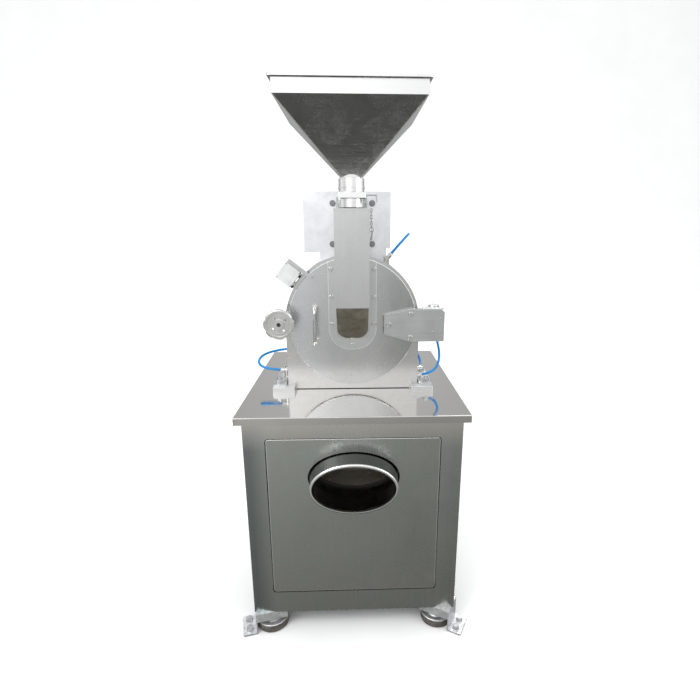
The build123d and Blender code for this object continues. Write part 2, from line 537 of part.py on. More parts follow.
FL_Y = DOOR_Y0 - 2.0
outer = u_shape(CHUTE_HW, CHUTE_Z0, CHUTE_TOP, 24, CHUTE_Y0, FL_Y)
inner = u_shape(CHUTE_HW - 2, CHUTE_Z0 + 2, CHUTE_TOP + 20, 22, CHUTE_Y0 + 2, FL_Y - 2)
below = prism_x([(CHUTE_Y0 - 1, CHUTE_Z1 + 1.1), (CHUTE_Y0 - 1, 700), (FL_Y + 1, 700), (FL_Y + 1, CHUTE_Z0 - 1), (FL_Y, CHUTE_Z0)], -80, 80)
below_in = prism_x([(CHUTE_Y0 - 1, CHUTE_Z1 + 4.2), (CHUTE_Y0 - 1, 700), (FL_Y + 1, 700), (FL_Y + 1, CHUTE_Z0 + 2.0), (FL_Y, CHUTE_Z0 + 3.0)], -80, 80)
chute = (outer - below) - (inner - below_in)
chute = chute - bx(-38, 38, FL_Y - 5, FL_Y + 5, 838, 926)
fl = bx(-69, 69, FL_Y, DOOR_Y0, 796, 1049)
fl = soften(fl, [e for e in fl.edges().filter_by(Axis.Y) if e.center().Z < 797], 62)
fl = soften(fl, [e for e in fl.edges().filter_by(Axis.Y) if e.center().Z > 1048], 4)
fl = fl - bx(-38, 38, FL_Y - 5, FL_Y + 5, 838, 926)
chute = chute + fl
chute = chute + (bx(-CHUTE_HW - 1.2, CHUTE_HW + 1.2, CHUTE_Y0 - 1.2, FL_Y + 0.8, CHUTE_TOP - 5, CHUTE_TOP) - bx(-CHUTE_HW + 2, CHUTE_HW - 2, CHUTE_Y0 + 2, FL_Y - 2, CHUTE_TOP - 9, CHUTE_TOP + 5))
save("feed_chute", chute)

scr = []
for x, z in ((-60.5, 1030), (-60.5, 950.5), (-60.5, 871), (62, 1030), (62, 950.5), (62, 871), (0.5, 810)):
    h = Pos(x, FL_Y, z) * Rot(90, 0, 0) * Sphere(6.4)
    h = (h & bx(x - 9, x + 9, FL_Y - 4.2, FL_Y, z - 9, z + 9)) - hex_y(x, z, 4.5, FL_Y - 6, FL_Y - 2.2)
    scr.append(h)

HX = -107.0
path = FilletPolyline([(HX, DOOR_Y0, 920), (HX, DOOR_Y0 - 36, 920), (HX, DOOR_Y0 - 36, 818), (HX, DOOR_Y0, 818)], radius=13)
bar = sweep(Plane(origin=(HX, DOOR_Y0, 920), z_dir=(0, -1, 0)) * Circle(5.2), path=path)
for z in (920, 818):
    bar = bar + cyl_y(HX, z, 8.5, DOOR_Y0 - 2, DOOR_Y0)
save("pull_handle", bar)

# hinge bracket: folded plate with a top and a bottom flange and a closed right end
HF = -108.5
outline = [(90, 843), (168, 821), (266, 821), (266, 908), (257, 917), (168, 917), (90, 899)]
inner_o = [(88, 846.3), (168.2, 824), (263, 824), (263, 906.6), (255.6, 914), (168.3, 914), (88, 895.8)]
hbk = prism_y(outline, HF, DOOR_Y0)
hbk = hbk - prism_y(inner_o, HF + 3, DOOR_Y0 + 1)
hbk = bevel(hbk, [e for e in hbk.faces().sort_by(Axis.Y)[0].edges()], 0.8)
for z0, z1 in ((821, 824), (914, 917)):
    ext = bx(205, 266, DOOR_Y0 - 1, HINGE_Y + 0, z0, z1)
    ext = ext + cyl_z(HINGE_X, HINGE_Y, 17, z0, z1)
    ext = ext - bx(150, 222, HINGE_Y - 14, HINGE_Y + 40, z0 - 1, z1 + 1)
    ext = ext + cyl_z(HINGE_X, HINGE_Y, 17, z0, z1)
    hbk = hbk + ext
hbk = hbk + bx(263, 266, HF + 2, -66, 821, 908)
hbk = hbk - bx(258, 270, DOOR_Y0, -40, 905, 930) 
hbk = hbk - bx(182, 202, -106, -97, 910, 920)
hbk = hbk - cyl_z(HINGE_X, HINGE_Y, HINGE_R, 800, 940)
for x, z in ((104.5, 872), (167.8, 902.0), (167.8, 833.5)):
    hbk = hbk + cyl_y(x, z, 7, HF + 2, DOOR_Y0)
save("hinge_bracket", hbk)
hs = []
for x, z, r in ((104.5, 872, 7.4), (167.8, 902.0, 7.4), (167.8, 833.5, 7.4), (255, 889, 3.2), (233.2, 849, 3.2), (256, 849, 3.2)):
    h = (Pos(x, HF + 0.6 * (r > 5), z) * Sphere(r)) & bx(x - 9, x + 9, HF - (4.6 if r > 5 else 2.0), HF, z - 9, z + 9)
    if r > 5:
        h = h - hex_y(x, z, 5, HF - 8, HF - 2.4)
    hs.append(h)
save("door_screws", *scr, *hs)

pin = cyl_z(HINGE_X, HINGE_Y, HINGE_R, 816, 917) + cyl_z(HINGE_X, HINGE_Y, 15.5, 917, 923)
pin = soften(pin, pin.faces().sort_by(Axis.Z)[-1].edges(), 3.0)
pin = pin + cyl_z(HINGE_X, HINGE_Y, 11, 814, 821)
save("hinge_pin", pin)

hbase = bx(R_SHELL, 205, -70, -10, 838, 902) + bx(200, 241, -67, -49, 842, 898)
hbase = hbase + cyl_z(HINGE_X, HINGE_Y, 14, 834, 902)
hbase = hbase + bx(R_SHELL - 6, R_SHELL, -70, 15, 838, 902)
hbase = hbase - cyl_z(HINGE_X, HINGE_Y, HINGE_R + 0.05, 800, 940) - arch(R_SHELL - 6, s0 + 0.02, s1)
save("hinge_base", hbase)

# ---------------------------------------------------------------- clamp at the left edge
boss = bx(-226, -R_SHELL, -80, -52, 866, 903)
boss = soften(boss, [e for e in boss.edges().filter_by(Axis.Y) if e.center().X < -220], 10.0)
boss = boss + bx(-R_SHELL - 1, -R_SHELL + 6, -72.9, -40, 866, 903)
boss = boss - cyl_y(CLX, CLZ, 8.4, -85, -60)
boss = boss - arch(R_SHELL - 6, s0 + 0.02, s1) - arch(R_SHELL, CH_Y0, CH_Y0 + CH_PLATE)
save("clamp_boss", boss)

W0, W1 = -168.0, -152.0
whl = cyl_y(CLX, CLZ, 42.5, W0, W1)
whl = soften(whl, whl.edges(), 4.5)
for i in range(8):
    a = math.radians(22.5 + 45 * i)
    whl = whl - cyl_y(CLX + 52.5 * math.cos(a), CLZ + 52.5 * math.sin(a), 13, W0 - 5, W1 + 5)
whl = whl - (cyl_y(CLX, CLZ, 33.5, W0 - 1, W0 + 5) - cyl_y(CLX, CLZ, 14, W0 - 2, W0 + 6))
whl = whl + (cyl_y(CLX, CLZ, 27, W0 + 3.4, W0 + 6) - cyl_y(CLX, CLZ, 24.5, W0 + 2, W0 + 7)) 
whl = whl - (cyl_y(CLX, CLZ, 33.5, W1 - 5, W1 + 1) - cyl_y(CLX, CLZ, 14, W1 - 6, W1 + 2))
for a in (35, 125, 215, 305):
    whl = whl - cyl_y(CLX + 21 * math.cos(math.radians(a)), CLZ + 21 * math.sin(math.radians(a)), 3.4, W0 - 2, W1 + 2)
whl = whl + cyl_y(CLX, CLZ, 14, W1 - 2, -124.6)
whl = whl + cyl_y(CLX, CLZ, 8.0, -140, -98) + cyl_y(CLX, CLZ, 7.0, -99, -86)
whl = bevel(whl, whl.edges().sort_by(Axis.Y)[-1:], 1.5)
whl = whl - cyl_y(CLX, CLZ, 5.6, W0 - 2, W0 + 9)
save("handwheel", whl)
save("clamp_collar", cyl_y(CLX, CLZ, 16, -124.3, -117.6) - cyl_y(CLX, CLZ, 8.06, -140, -110))

# ---------------------------------------------------------------- interlock switch on the arch
SA = 142.0                                            # direction from the rotor axis
sx, sz = math.cos(math.radians(SA)), math.sin(math.radians(SA))


def on_arch(shape):
    """Puts a shape drawn with local X along the radius and local Z along the arch at its place."""
    return Pos(0, 0, Z_AXIS) * Rot(0, -SA, 0) * shape


sbx = bx(202, 252, -112, -62, -26, 26)
sbx = soften(sbx, sbx.edges().filter_by(Axis.Y), 3.0)
sbx = sbx + bx(198, 203, -100, -70, -20, -9) + bx(198, 203, -100, -70, 9, 20) + bx(193.5, 198.2, -82.9, -70, -26, 26)
sbx = sbx - bx(209, 245, -113, -111, -17, 17) + bx(211, 243, -111.6, -110, -15, 15)
sbx = sbx - bx(190, 206, -114, -106, -34, -20)
sw = on_arch(sbx) - cyl_y(0, Z_AXIS, R_SHELL, CH_Y0 - 1, CH_Y0 + CH_PLATE) - cyl_y(0, Z_AXIS, R_SHELL - 6, -90, 30)
save("switch_box", sw)
save("switch_actuator", on_arch(bx(170, 184, DOOR_Y0 - 22, DOOR_Y0, -38, -30) + bx(170, 250, DOOR_Y0 - 22, DOOR_Y0 - 15, -38, -29)))

# ---------------------------------------------------------------- cooling water fittings and hoses
HOSE = 7.5


def hose(pts, radii):
    """A hose of straight runs joined by tangent arcs, each with its own radius."""
    vs = [Vector(*p) for p in pts]
    path = FilletPolyline(*pts, radius=radii)
    t0 = (vs[1] - vs[0]).normalized()
    return sweep(Plane(origin=vs[0], z_dir=(t0.X, t0.Y, t0.Z)) * Circle(HOSE / 2), path=path), path


def arc_radii(pts):
    """Each radius is 0.45 of the shorter run over the tangent of half the turn."""
    out = []
    for a, b, c in zip(pts, pts[1:], pts[2:]):
        u, v = Vector(*b) - Vector(*a), Vector(*c) - Vector(*b)
        turn = math.acos(max(-1, min(1, u.normalized().dot(v.normalized()))))
        out.append(round(0.45 * min(u.length, v.length) / math.tan(turn / 2), 2))
    return out


fit = []


def toward(a, b, r, extra=0.0):
    """A round bar from point a to point b."""
    va, vb = Vector(*a), Vector(*b)
    d = (vb - va).normalized()
    return extrude(Plane(origin=va, z_dir=(d.X, d.Y, d.Z)) * Circle(r), amount=(vb - va).length + extra)


def elbow(end, nxt, wall, r_out=6.2, r_body=6.8, run=15.0):
    """A push-in elbow: outlet collar at the hose end, ball, and a nipple to the wall point."""
    e, n = Vector(*end), Vector(*nxt)
    d = (e - n).normalized()
    c = e + d * run
    cc = (c.X, c.Y, c.Z)
    w = [cc[0], cc[1], cc[2]]
    w[wall[0]] = wall[1]
    body = toward(tuple(w), cc, r_body + 0.4, r_body + 0.8)
    near = [ed for ed in body.edges() if (ed.center() - c).length < r_body + 3]
    body = soften(body, near, 2.4)
    return body + toward(end, cc, r_out), cc


hoses = {
    "hose_left": [(-214, -58, 724), (-294, -58, 727), (-292, 38, 758), (-200, 44, 765)],
    "hose_right": [(207, -56, 703), (247, -60, 711), (268, -48, 746), (270, -10, 786), (257, 46, 836), (190, 50, 858)],
    "hose_right_inner": [(212, -18, 716), (222, 30, 728), (196, 58, 764), (150, 58, 782)],
    "hose_top": [(112, -30, 1066), (165, -28, 1125), (175, 52, 1125), (118, 54, 1062), (92, 54, 1018)],
}
fits = []
for node, pts in hoses.items():
    rad = arc_radii(pts)
    body, path = hose(pts, rad)
    L = path.length
    print(node, "radii", rad, "length", round(L, 1), "volume/(area*length)", round(body.volume / (math.pi * HOSE * HOSE / 4 * L), 4))
    save(node, body)

# left front: nipple out of the shell, riser, outlet to the left
f = toward((-214, -58, 724), (-202, -58, 723.55), 6.2) + Pos(-202, -58, 723.55) * Sphere(7.4) + cyl_z(-202, -58, 6.8, 703, 723.6)
f = f + Pos(-202, -58, 703) * Sphere(7.4) + cyl_x(-58, 703, 6.8, -202, -R_SHELL + 6)
fits.append(f - bx(-R_SHELL + 6, 0, -100, 100, 600, 800))
f, c = elbow((-200, 44, 765), (-292, 38, 758), (1, CH_Y1))
fits.append(f)
# right front: a tee with one outlet to the right and one to the back
f = toward((207, -56, 703), (187, -54, 699), 6.2) + cyl_x(-55, 700.5, 8.0, R_SHELL - 6, 194)
fits.append(f - bx(0, R_SHELL - 6, -100, 100, 600, 800))
f, c = elbow((190, 50, 858), (257, 46, 836), (1, CH_Y1))
fits.append(f)
f, c = elbow((150, 58, 782), (196, 58, 764), (1, CH_Y1))
fits.append(f)
f, c = elbow((212, -18, 716), (222, 30, 728), (0, R_SHELL - 6), run=9.0)
fits.append(f)
f, c = elbow((112, -30, 1066), (165, -28, 1125), (2, 1028))
fits.append(f - cyl_y(0, Z_AXIS, R_SHELL - 6, -100, 60))
f, c = elbow((92, 54, 1018), (118, 54, 1062), (1, CH_Y1))
fits.append(f)
save("water_fittings", *fits)
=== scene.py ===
import bpy, bmesh, json, math, random
from mathutils import Vector, Matrix, noise


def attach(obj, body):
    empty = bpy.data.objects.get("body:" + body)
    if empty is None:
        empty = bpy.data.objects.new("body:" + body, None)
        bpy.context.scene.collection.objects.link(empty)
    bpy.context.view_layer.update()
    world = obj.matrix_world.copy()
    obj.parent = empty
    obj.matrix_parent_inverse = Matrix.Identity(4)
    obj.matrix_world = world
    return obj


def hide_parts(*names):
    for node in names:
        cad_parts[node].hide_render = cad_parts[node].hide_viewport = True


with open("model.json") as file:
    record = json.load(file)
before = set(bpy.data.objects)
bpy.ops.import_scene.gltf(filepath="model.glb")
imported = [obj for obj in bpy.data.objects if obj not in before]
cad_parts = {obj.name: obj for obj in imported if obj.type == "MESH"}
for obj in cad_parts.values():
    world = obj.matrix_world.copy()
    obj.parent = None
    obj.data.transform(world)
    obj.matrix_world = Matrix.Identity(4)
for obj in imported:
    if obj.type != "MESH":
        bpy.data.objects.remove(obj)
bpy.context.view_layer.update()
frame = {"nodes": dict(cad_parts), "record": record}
NODES, REC = frame["nodes"], frame["record"]
R = random.Random(11)


# ------------------------------------------------------------------ node-material helpers
class Mat:
    """A principled material with small helpers for its procedural detail."""

    def __init__(self, name, color, metallic, rough, **sock):
        self.m = bpy.data.materials.new(name)
        self.m.use_nodes = True
        self.t = self.m.node_tree
        self.b = self.t.nodes["Principled BSDF"]
        self.b.inputs["Base Color"].default_value = (*color, 1)
        self.b.inputs["Metallic"].default_value = metallic
        self.b.inputs["Roughness"].default_value = rough
        for k, v in sock.items():
            self.b.inputs[k.replace("_", " ")].default_value = v
        self.tc = self.t.nodes.new("ShaderNodeTexCoord")
        self.h = None

    def node(self, kind, **props):
        n = self.t.nodes.new(kind)
        for k, v in props.items():
            setattr(n, k, v)
        return n

    def link(self, a, b):
        self.t.links.new(a, b)

    def mapped(self, scale=(1, 1, 1), rot=(0, 0, 0)):
        mp = self.node("ShaderNodeMapping")
        mp.inputs["Scale"].default_value = scale
        mp.inputs["Rotation"].default_value = rot
        self.link(self.tc.outputs["Object"], mp.inputs["Vector"])
        return mp.outputs["Vector"]

    def noise(self, vec, scale, detail=3.0, rough=0.55, dist=0.0):
        n = self.node("ShaderNodeTexNoise")
        self.link(vec, n.inputs["Vector"])
        n.inputs["Scale"].default_value = scale
        n.inputs["Detail"].default_value = detail
        n.inputs["Roughness"].default_value = rough
        n.inputs["Distortion"].default_value = dist
        return n.outputs["Fac"]

    def voronoi(self, vec, scale, feature="F1", out="Distance"):
        n = self.node("ShaderNodeTexVoronoi", feature=feature)
        self.link(vec, n.inputs["Vector"])
        n.inputs["Scale"].default_value = scale
        return n.outputs[out]

    def ramp(self, fac, stops):
        n = self.node("ShaderNodeValToRGB")
        el = n.color_ramp.elements
        while len(el) < len(stops):
            el.new(0.5)
        for e, (p, c) in zip(el, stops):
            e.position = p
            e.color = (*c, 1) if len(c) == 3 else c
        self.link(fac, n.inputs["Fac"])
        return n.outputs["Color"]

    def grey(self, fac, lo, hi, a=0.35, b=0.65):
        n = self.node("ShaderNodeMapRange")
        n.inputs["From Min"].default_value = a
        n.inputs["From Max"].default_value = b
        n.inputs["To Min"].default_value = lo
        n.inputs["To Max"].default_value = hi
        self.link(fac, n.inputs["Value"])
        return n.outputs["Result"]

    def math(self, op, a, b):
        n = self.node("ShaderNodeMath", operation=op)
        for i, v in enumerate((a, b)):
            if isinstance(v, (int, float)):
                n.inputs[i].default_value = v
            else:
                self.link(v, n.inputs[i])
        return n.outputs[0]

    def mix(self, fac, a, b, mode="MIX"):
        n = self.node("ShaderNodeMix", data_type="RGBA", blend_type=mode)
        n.clamp_factor = True
        if isinstance(fac, (int, float)):
            n.inputs[0].default_value = fac
        else:
            self.link(fac, n.inputs[0])
        for i, v in ((6, a), (7, b)):
            if isinstance(v, tuple):
                n.inputs[i].default_value = (*v, 1)
            else:
                self.link(v, n.inputs[i])
        return n.outputs[2]

    def color(self, c):
        self.link(c, self.b.inputs["Base Color"])

    def rough(self, r):
        self.link(r, self.b.inputs["Roughness"])

    def bump(self, height, strength, distance):
        n = self.node("ShaderNodeBump")
        n.inputs["Strength"].default_value = strength
        n.inputs["Distance"].default_value = distance
        self.link(height, n.inputs["Height"])
        if self.h is not None:
            self.link(self.h, n.inputs["Normal"])
        self.h = n.outputs["Normal"]
        self.link(self.h, self.b.inputs["Normal"])


def k(c, f):
    return tuple(max(0.0, min(1.0, v * f)) for v in c)


def steel(name, base, rough, grain=(420, 420, 5), tint=None, cloud=0.10, scratch=0.5, bump=0.22, wave=0.0, spread=0.09):
    """Brushed or polished stainless: fine grain lines, hazy clouds, wipe marks and a few scratches."""
    m = Mat(name, base, 1.0, rough)
    g = m.mapped(grain)
    streak = m.noise(g, 1.0, 4.0, 0.62)
    g2 = m.mapped(tuple(v * 0.22 for v in grain))
    broad = m.noise(g2, 1.0, 3.0, 0.5)
    plain = m.mapped()
    haze = m.noise(plain, 5.5, 4.0, 0.55, 0.6)
    haze2 = m.noise(m.mapped((1, 1, 1), (0.5, 0.3, 0.9)), 17.0, 3.0, 0.6, 1.2)
    both = m.math("ADD", m.math("MULTIPLY", streak, 0.40), m.math("ADD", m.math("MULTIPLY", broad, 0.25), m.math("MULTIPLY", haze, 0.35)))
    col = m.ramp(both, [(0.30, k(base, 1 - cloud)), (0.52, base), (0.74, k(base, 1 + cloud))])
    if tint:
        col = m.mix(m.grey(haze2, 0.0, 0.55, 0.42, 0.68), col, tint)
    # long fine scratches at two slants, only where the haze lets them show
    sc1 = m.voronoi(m.mapped((60, 60, 4), (0.0, 0.35, 0.2)), 2.2, "DISTANCE_TO_EDGE")
    sc2 = m.voronoi(m.mapped((5, 70, 60), (0.3, -0.25, 0.1)), 1.7, "DISTANCE_TO_EDGE")
    s = m.math("MINIMUM", sc1, sc2)
    line = m.grey(s, 1.0, 0.0, 0.0, 0.012)
    line = m.math("MULTIPLY", line, m.grey(haze2, 0.0, scratch, 0.52, 0.66))
    col = m.mix(line, col, k(base, 1.22))
    m.color(col)
    r = m.math("ADD", m.grey(both, rough - spread * 0.6, rough + spread, 0.3, 0.7), m.grey(haze2, -0.03, 0.05, 0.35, 0.7))
    m.rough(r)
    if wave:
        m.bump(m.noise(plain, 9.0, 2.0, 0.5), wave, 0.004)
    m.bump(streak, bump, 0.00022)
    m.bump(line, 0.25, 0.0002)
    return m.m


def turned(name, base, rough, axis, centre, pitch=1400.0, bump=0.25):
    """Lathe-turned metal: fine rings round an axis."""
    m = Mat(name, base, 1.0, rough)
    mp = m.node("ShaderNodeMapping")
    mp.vector_type = "POINT"
    mp.inputs["Location"].default_value = tuple(-c for c in centre)
    sc = [1, 1, 1]
    sc[axis] = 0.0
    m.link(m.tc.outputs["Object"], mp.inputs["Vector"])
    mp2 = m.node("ShaderNodeMapping")
    mp2.inputs["Scale"].default_value = sc
    m.link(mp.outputs["Vector"], mp2.inputs["Vector"])
    ln = m.node("ShaderNodeVectorMath", operation="LENGTH")
    m.link(mp2.outputs["Vector"], ln.inputs[0])
    comb = m.node("ShaderNodeCombineXYZ")
    m.link(m.math("MULTIPLY", ln.outputs["Value"], pitch), comb.inputs[0])
    sep = m.node("ShaderNodeSeparateXYZ")
    m.link(mp.outputs["Vector"], sep.inputs[0])
    m.link(m.math("MULTIPLY", sep.outputs[axis], pitch), comb.inputs[1])
    rings = m.noise(comb.outputs[0], 1.0, 2.0, 0.6)
    haze = m.noise(m.mapped(), 40.0, 3.0, 0.6, 0.8)
    f = m.math("ADD", m.math("MULTIPLY", rings, 0.55), m.math("MULTIPLY", haze, 0.45))
    m.color(m.ramp(f, [(0.3, k(base, 0.86)), (0.5, base), (0.72, k(base, 1.12))]))
    m.rough(m.grey(f, rough - 0.06, rough + 0.10, 0.3, 0.7))
    m.bump(rings, bump, 0.00025)
    m.bump(haze, 0.10, 0.0006)
    return m.m


def zinc(name, base=(0.60, 0.62, 0.63)):
    m = Mat(name, base, 0.9, 0.42)
    v = m.voronoi(m.mapped(), 170.0, "F1", "Color")
    sp = m.node("ShaderNodeSeparateColor")
    m.link(v, sp.inputs[0])
    dust = m.noise(m.mapped(), 30.0, 5.0, 0.65, 0.7)
    col = m.ramp(sp.outputs[0], [(0.0, k(base, 0.86)), (1.0, k(base, 1.12))])
    col = m.mix(m.grey(dust, 0.0, 0.45, 0.5, 0.7), col, (0.42, 0.42, 0.40))
    m.color(col)
    m.rough(m.grey(dust, 0.32, 0.58, 0.35, 0.65))
    m.bump(dust, 0.25, 0.0006)
    m.bump(sp.outputs[1], 0.06, 0.0004)
    return m.m


def painted(name, base, rough=0.42, metallic=0.0):
    """Sprayed enamel with orange peel and rubbed, dusty places."""
    m = Mat(name, base, metallic, rough, Coat_Weight=0.15)
    peel = m.noise(m.mapped(), 420.0, 2.0, 0.5)
    dirt = m.noise(m.mapped(), 12.0, 5.0, 0.6, 0.9)
    m.color(m.ramp(dirt, [(0.30, k(base, 0.72)), (0.5, base), (0.70, k(base, 1.22))]))
    m.rough(m.grey(dirt, rough - 0.08, rough + 0.2, 0.3, 0.7))
    m.bump(peel, 0.25, 0.0005)
    m.bump(dirt, 0.12, 0.002)
    return m.m


def cast(name, base):
    m = Mat(name, base, 0.85, 0.5)
    grit = m.noise(m.mapped(), 300.0, 5.0, 0.7)
    big = m.noise(m.mapped(), 22.0, 4.0, 0.6, 0.5)
    f = m.math("ADD", m.math("MULTIPLY", grit, 0.5), m.math("MULTIPLY", big, 0.5))
    m.color(m.ramp(f, [(0.35, k(base, 0.7)), (0.5, base), (0.66, k(base, 1.3))]))
    m.rough(m.grey(f, 0.40, 0.66))
    m.bump(grit, 0.5, 0.0010)
    return m.m


def rubber(name, base, rough=0.72, dusty=0.35, dust=(0.30, 0.28, 0.25)):
    m = Mat(name, base, 0.0, rough, Specular_IOR_Level=0.35)
    grain = m.noise(m.mapped(), 900.0, 3.0, 0.6)
    d = m.noise(m.mapped(), 26.0, 5.0, 0.62, 0.8)
    low = m.ramp(grain, [(0.3, k(base, 0.8)), (0.7, k(base, 1.5))])
    m.color(m.mix(m.grey(d, 0.0, dusty, 0.42, 0.66), low, dust))
    m.rough(m.grey(d, rough - 0.14, rough + 0.14))
    m.bump(grain, 0.35, 0.0004)
    m.bump(d, 0.15, 0.0012)
    return m.m


def plastic(name, base, rough=0.35, speck=0.12, bump=0.15, **sock):
    m = Mat(name, base, 0.0, rough, **sock)
    fine = m.noise(m.mapped(), 700.0, 2.0, 0.5)
    wide = m.noise(m.mapped(), 35.0, 3.0, 0.55, 0.5)
    m.color(m.ramp(wide, [(0.34, k(base, 1 - speck)), (0.5, base), (0.68, k(base, 1 + speck))]))
    m.rough(m.grey(wide, rough - 0.05, rough + 0.12))
    m.bump(fine, bump, 0.0002)
    return m.m


# ------------------------------------------------------------------ materials
MT = {}
MT["cab"] = steel("brushed_cabinet", (0.50, 0.53, 0.51), 0.25, (1000, 1000, 22), tint=(0.50, 0.475, 0.45), cloud=0.03, scratch=0.10, bump=0.025)
MT["panel"] = steel("brushed_panel", (0.51, 0.55, 0.525), 0.26, (1000, 1000, 22), tint=(0.50, 0.48, 0.455), cloud=0.03, scratch=0.10, bump=0.025)
MT["sheet"] = steel("brushed_sheet", (0.66, 0.67, 0.67), 0.34, (420, 420, 6))
MT["plate"] = steel("ground_plate", (0.72, 0.72, 0.715), 0.20, (22, 1100, 1100), tint=(0.68, 0.66, 0.62), cloud=0.03, scratch=0.2, bump=0.03)
MT["door"] = steel("ground_door", (0.66, 0.67, 0.67), 0.24, (1100, 1100, 60), tint=(0.60, 0.595, 0.58), cloud=0.015, scratch=0.12, bump=0.0, spread=0.03)
MT["chute"] = steel("brushed_chute", (0.68, 0.68, 0.68), 0.32, (900, 900, 14), tint=(0.58, 0.58, 0.58), cloud=0.06, scratch=0.25, bump=0.05)


class Patch:
    """Local changes to a material, placed by the position on the piece (metres)."""

    def __init__(self, mat):
        self.t = mat.node_tree
        self.b = self.t.nodes["Principled BSDF"]
        self.tc = self.t.nodes.new("ShaderNodeTexCoord")
        sp = self.t.nodes.new("ShaderNodeSeparateXYZ")
        self.t.links.new(self.tc.outputs["Object"], sp.inputs[0])
        self.x, self.y, self.z = sp.outputs
        self.ax = self.op("ABSOLUTE", self.x, 0.0)

    def rng(self, src, a, b, lo=0.0, hi=1.0):
        n = self.t.nodes.new("ShaderNodeMapRange")
        for key, v in (("From Min", a), ("From Max", b), ("To Min", lo), ("To Max", hi)):
            n.inputs[key].default_value = v
        self.t.links.new(src, n.inputs["Value"])
        return n.outputs["Result"]

    def op(self, op, a, b):
        n = self.t.nodes.new("ShaderNodeMath")
        n.operation = op
        for i, v in enumerate((a, b)):
            if isinstance(v, (int, float)):
                n.inputs[i].default_value = v
            else:
                self.t.links.new(v, n.inputs[i])
        return n.outputs[0]

    def all(self, *masks):
        m = masks[0]
        for q in masks[1:]:
            m = self.op("MULTIPLY", m, q)
        return m

    def any(self, *masks):
        m = masks[0]
        for q in masks[1:]:
            m = self.op("MAXIMUM", m, q)
        return m

    def noise(self, scale, detail=5.0):
        n = self.t.nodes.new("ShaderNodeTexNoise")
        n.inputs["Scale"].default_value = scale
        n.inputs["Detail"].default_value = detail
        self.t.links.new(self.tc.outputs["Object"], n.inputs["Vector"])
        return n.outputs["Fac"]

    def mix(self, fac, a, b):
        n = self.t.nodes.new("ShaderNodeMix")
        n.data_type = "RGBA"
        self.t.links.new(fac, n.inputs[0])
        for i, v in ((6, a), (7, b)):
            if isinstance(v, tuple):
                n.inputs[i].default_value = (*v, 1)
            else:
                self.t.links.new(v, n.inputs[i])
        return n.outputs[2]

    def colour(self, mask, col):
        s = self.b.inputs["Base Color"]
        self.t.links.new(self.mix(mask, s.links[0].from_socket, col), s)


# chute: the flange as dull as the door, and painted shade inside the sloping toe pan
p = Patch(MT["chute"])
p.colour(p.rng(p.y, -0.0966, -0.0962), (0.64, 0.65, 0.65))
inside = p.all(p.rng(p.ax, 0.0440, 0.0446, 1.0, 0.0), p.rng(p.z, 0.9335, 0.9325), p.rng(p.y, -0.1835, -0.1822), p.rng(p.y, -0.0970, -0.0972))
# the painted shade has the pan's lower corners rounded off, and a painted highlight lines the rim of the flange
cx_, cz_ = p.op("MAXIMUM", p.op("SUBTRACT", p.ax, 0.013), 0.0), p.op("MINIMUM", p.op("SUBTRACT", p.z, 0.862), 0.0)
dd_ = p.op("SQRT", p.op("ADD", p.op("MULTIPLY", cx_, cx_), p.op("MULTIPLY", cz_, cz_)), 0.0)
inside = p.all(inside, p.rng(dd_, 0.0312, 0.0306))
p.colour(inside, p.mix(p.rng(p.noise(38.0), 0.30, 0.70), (0.16, 0.145, 0.11), (0.30, 0.28, 0.235)))
cx_, cz_ = p.op("MAXIMUM", p.op("SUBTRACT", p.ax, 0.007), 0.0), p.op("MINIMUM", p.op("SUBTRACT", p.z, 0.858), 0.0)
dd_ = p.op("SQRT", p.op("ADD", p.op("MULTIPLY", cx_, cx_), p.op("MULTIPLY", cz_, cz_)), 0.0)
p.colour(p.all(p.rng(p.y, -0.0966, -0.0962), p.rng(dd_, 0.0604, 0.0609)), (0.95, 0.95, 0.95))
# door: painted light on the left side, painted shade on the right side, and a painted highlight along the turned edge
p = Patch(MT["door"])
rr_ = p.op("SQRT", p.op("ADD", p.op("MULTIPLY", p.x, p.x), p.op("MULTIPLY", p.op("SUBTRACT", p.z, 0.876), p.op("SUBTRACT", p.z, 0.876))), 0.0)
DOOR_EDGE = max(v.co.x for v in NODES["door_plate"].data.vertices)
p.colour(p.rng(p.x, 0.06, 0.15, 0.0, 0.75), (0.44, 0.45, 0.44))
p.colour(p.rng(p.x, -0.05, -0.14, 0.0, 0.75), (0.80, 0.81, 0.83))
p.colour(p.rng(rr_, DOOR_EDGE - 0.0016, DOOR_EDGE - 0.0011), (0.92, 0.92, 0.92))
# cabinet frame: painted shade makes the left post cooler and darker and the right post a little darker, and a painted
# reflection makes the band under the table warmer and lighter
p = Patch(MT["cab"])
front = p.rng(p.y, -0.2810, -0.2830)
p.colour(p.all(front, p.rng(p.x, -0.225, -0.275, 0.0, 0.85)), (0.24, 0.275, 0.285))
p.colour(p.all(front, p.rng(p.x, 0.235, 0.275, 0.0, 0.35)), (0.36, 0.38, 0.36))
p.colour(p.all(front, p.rng(p.z, 0.575, 0.655, 0.0, 0.8)), (0.80, 0.76, 0.72))
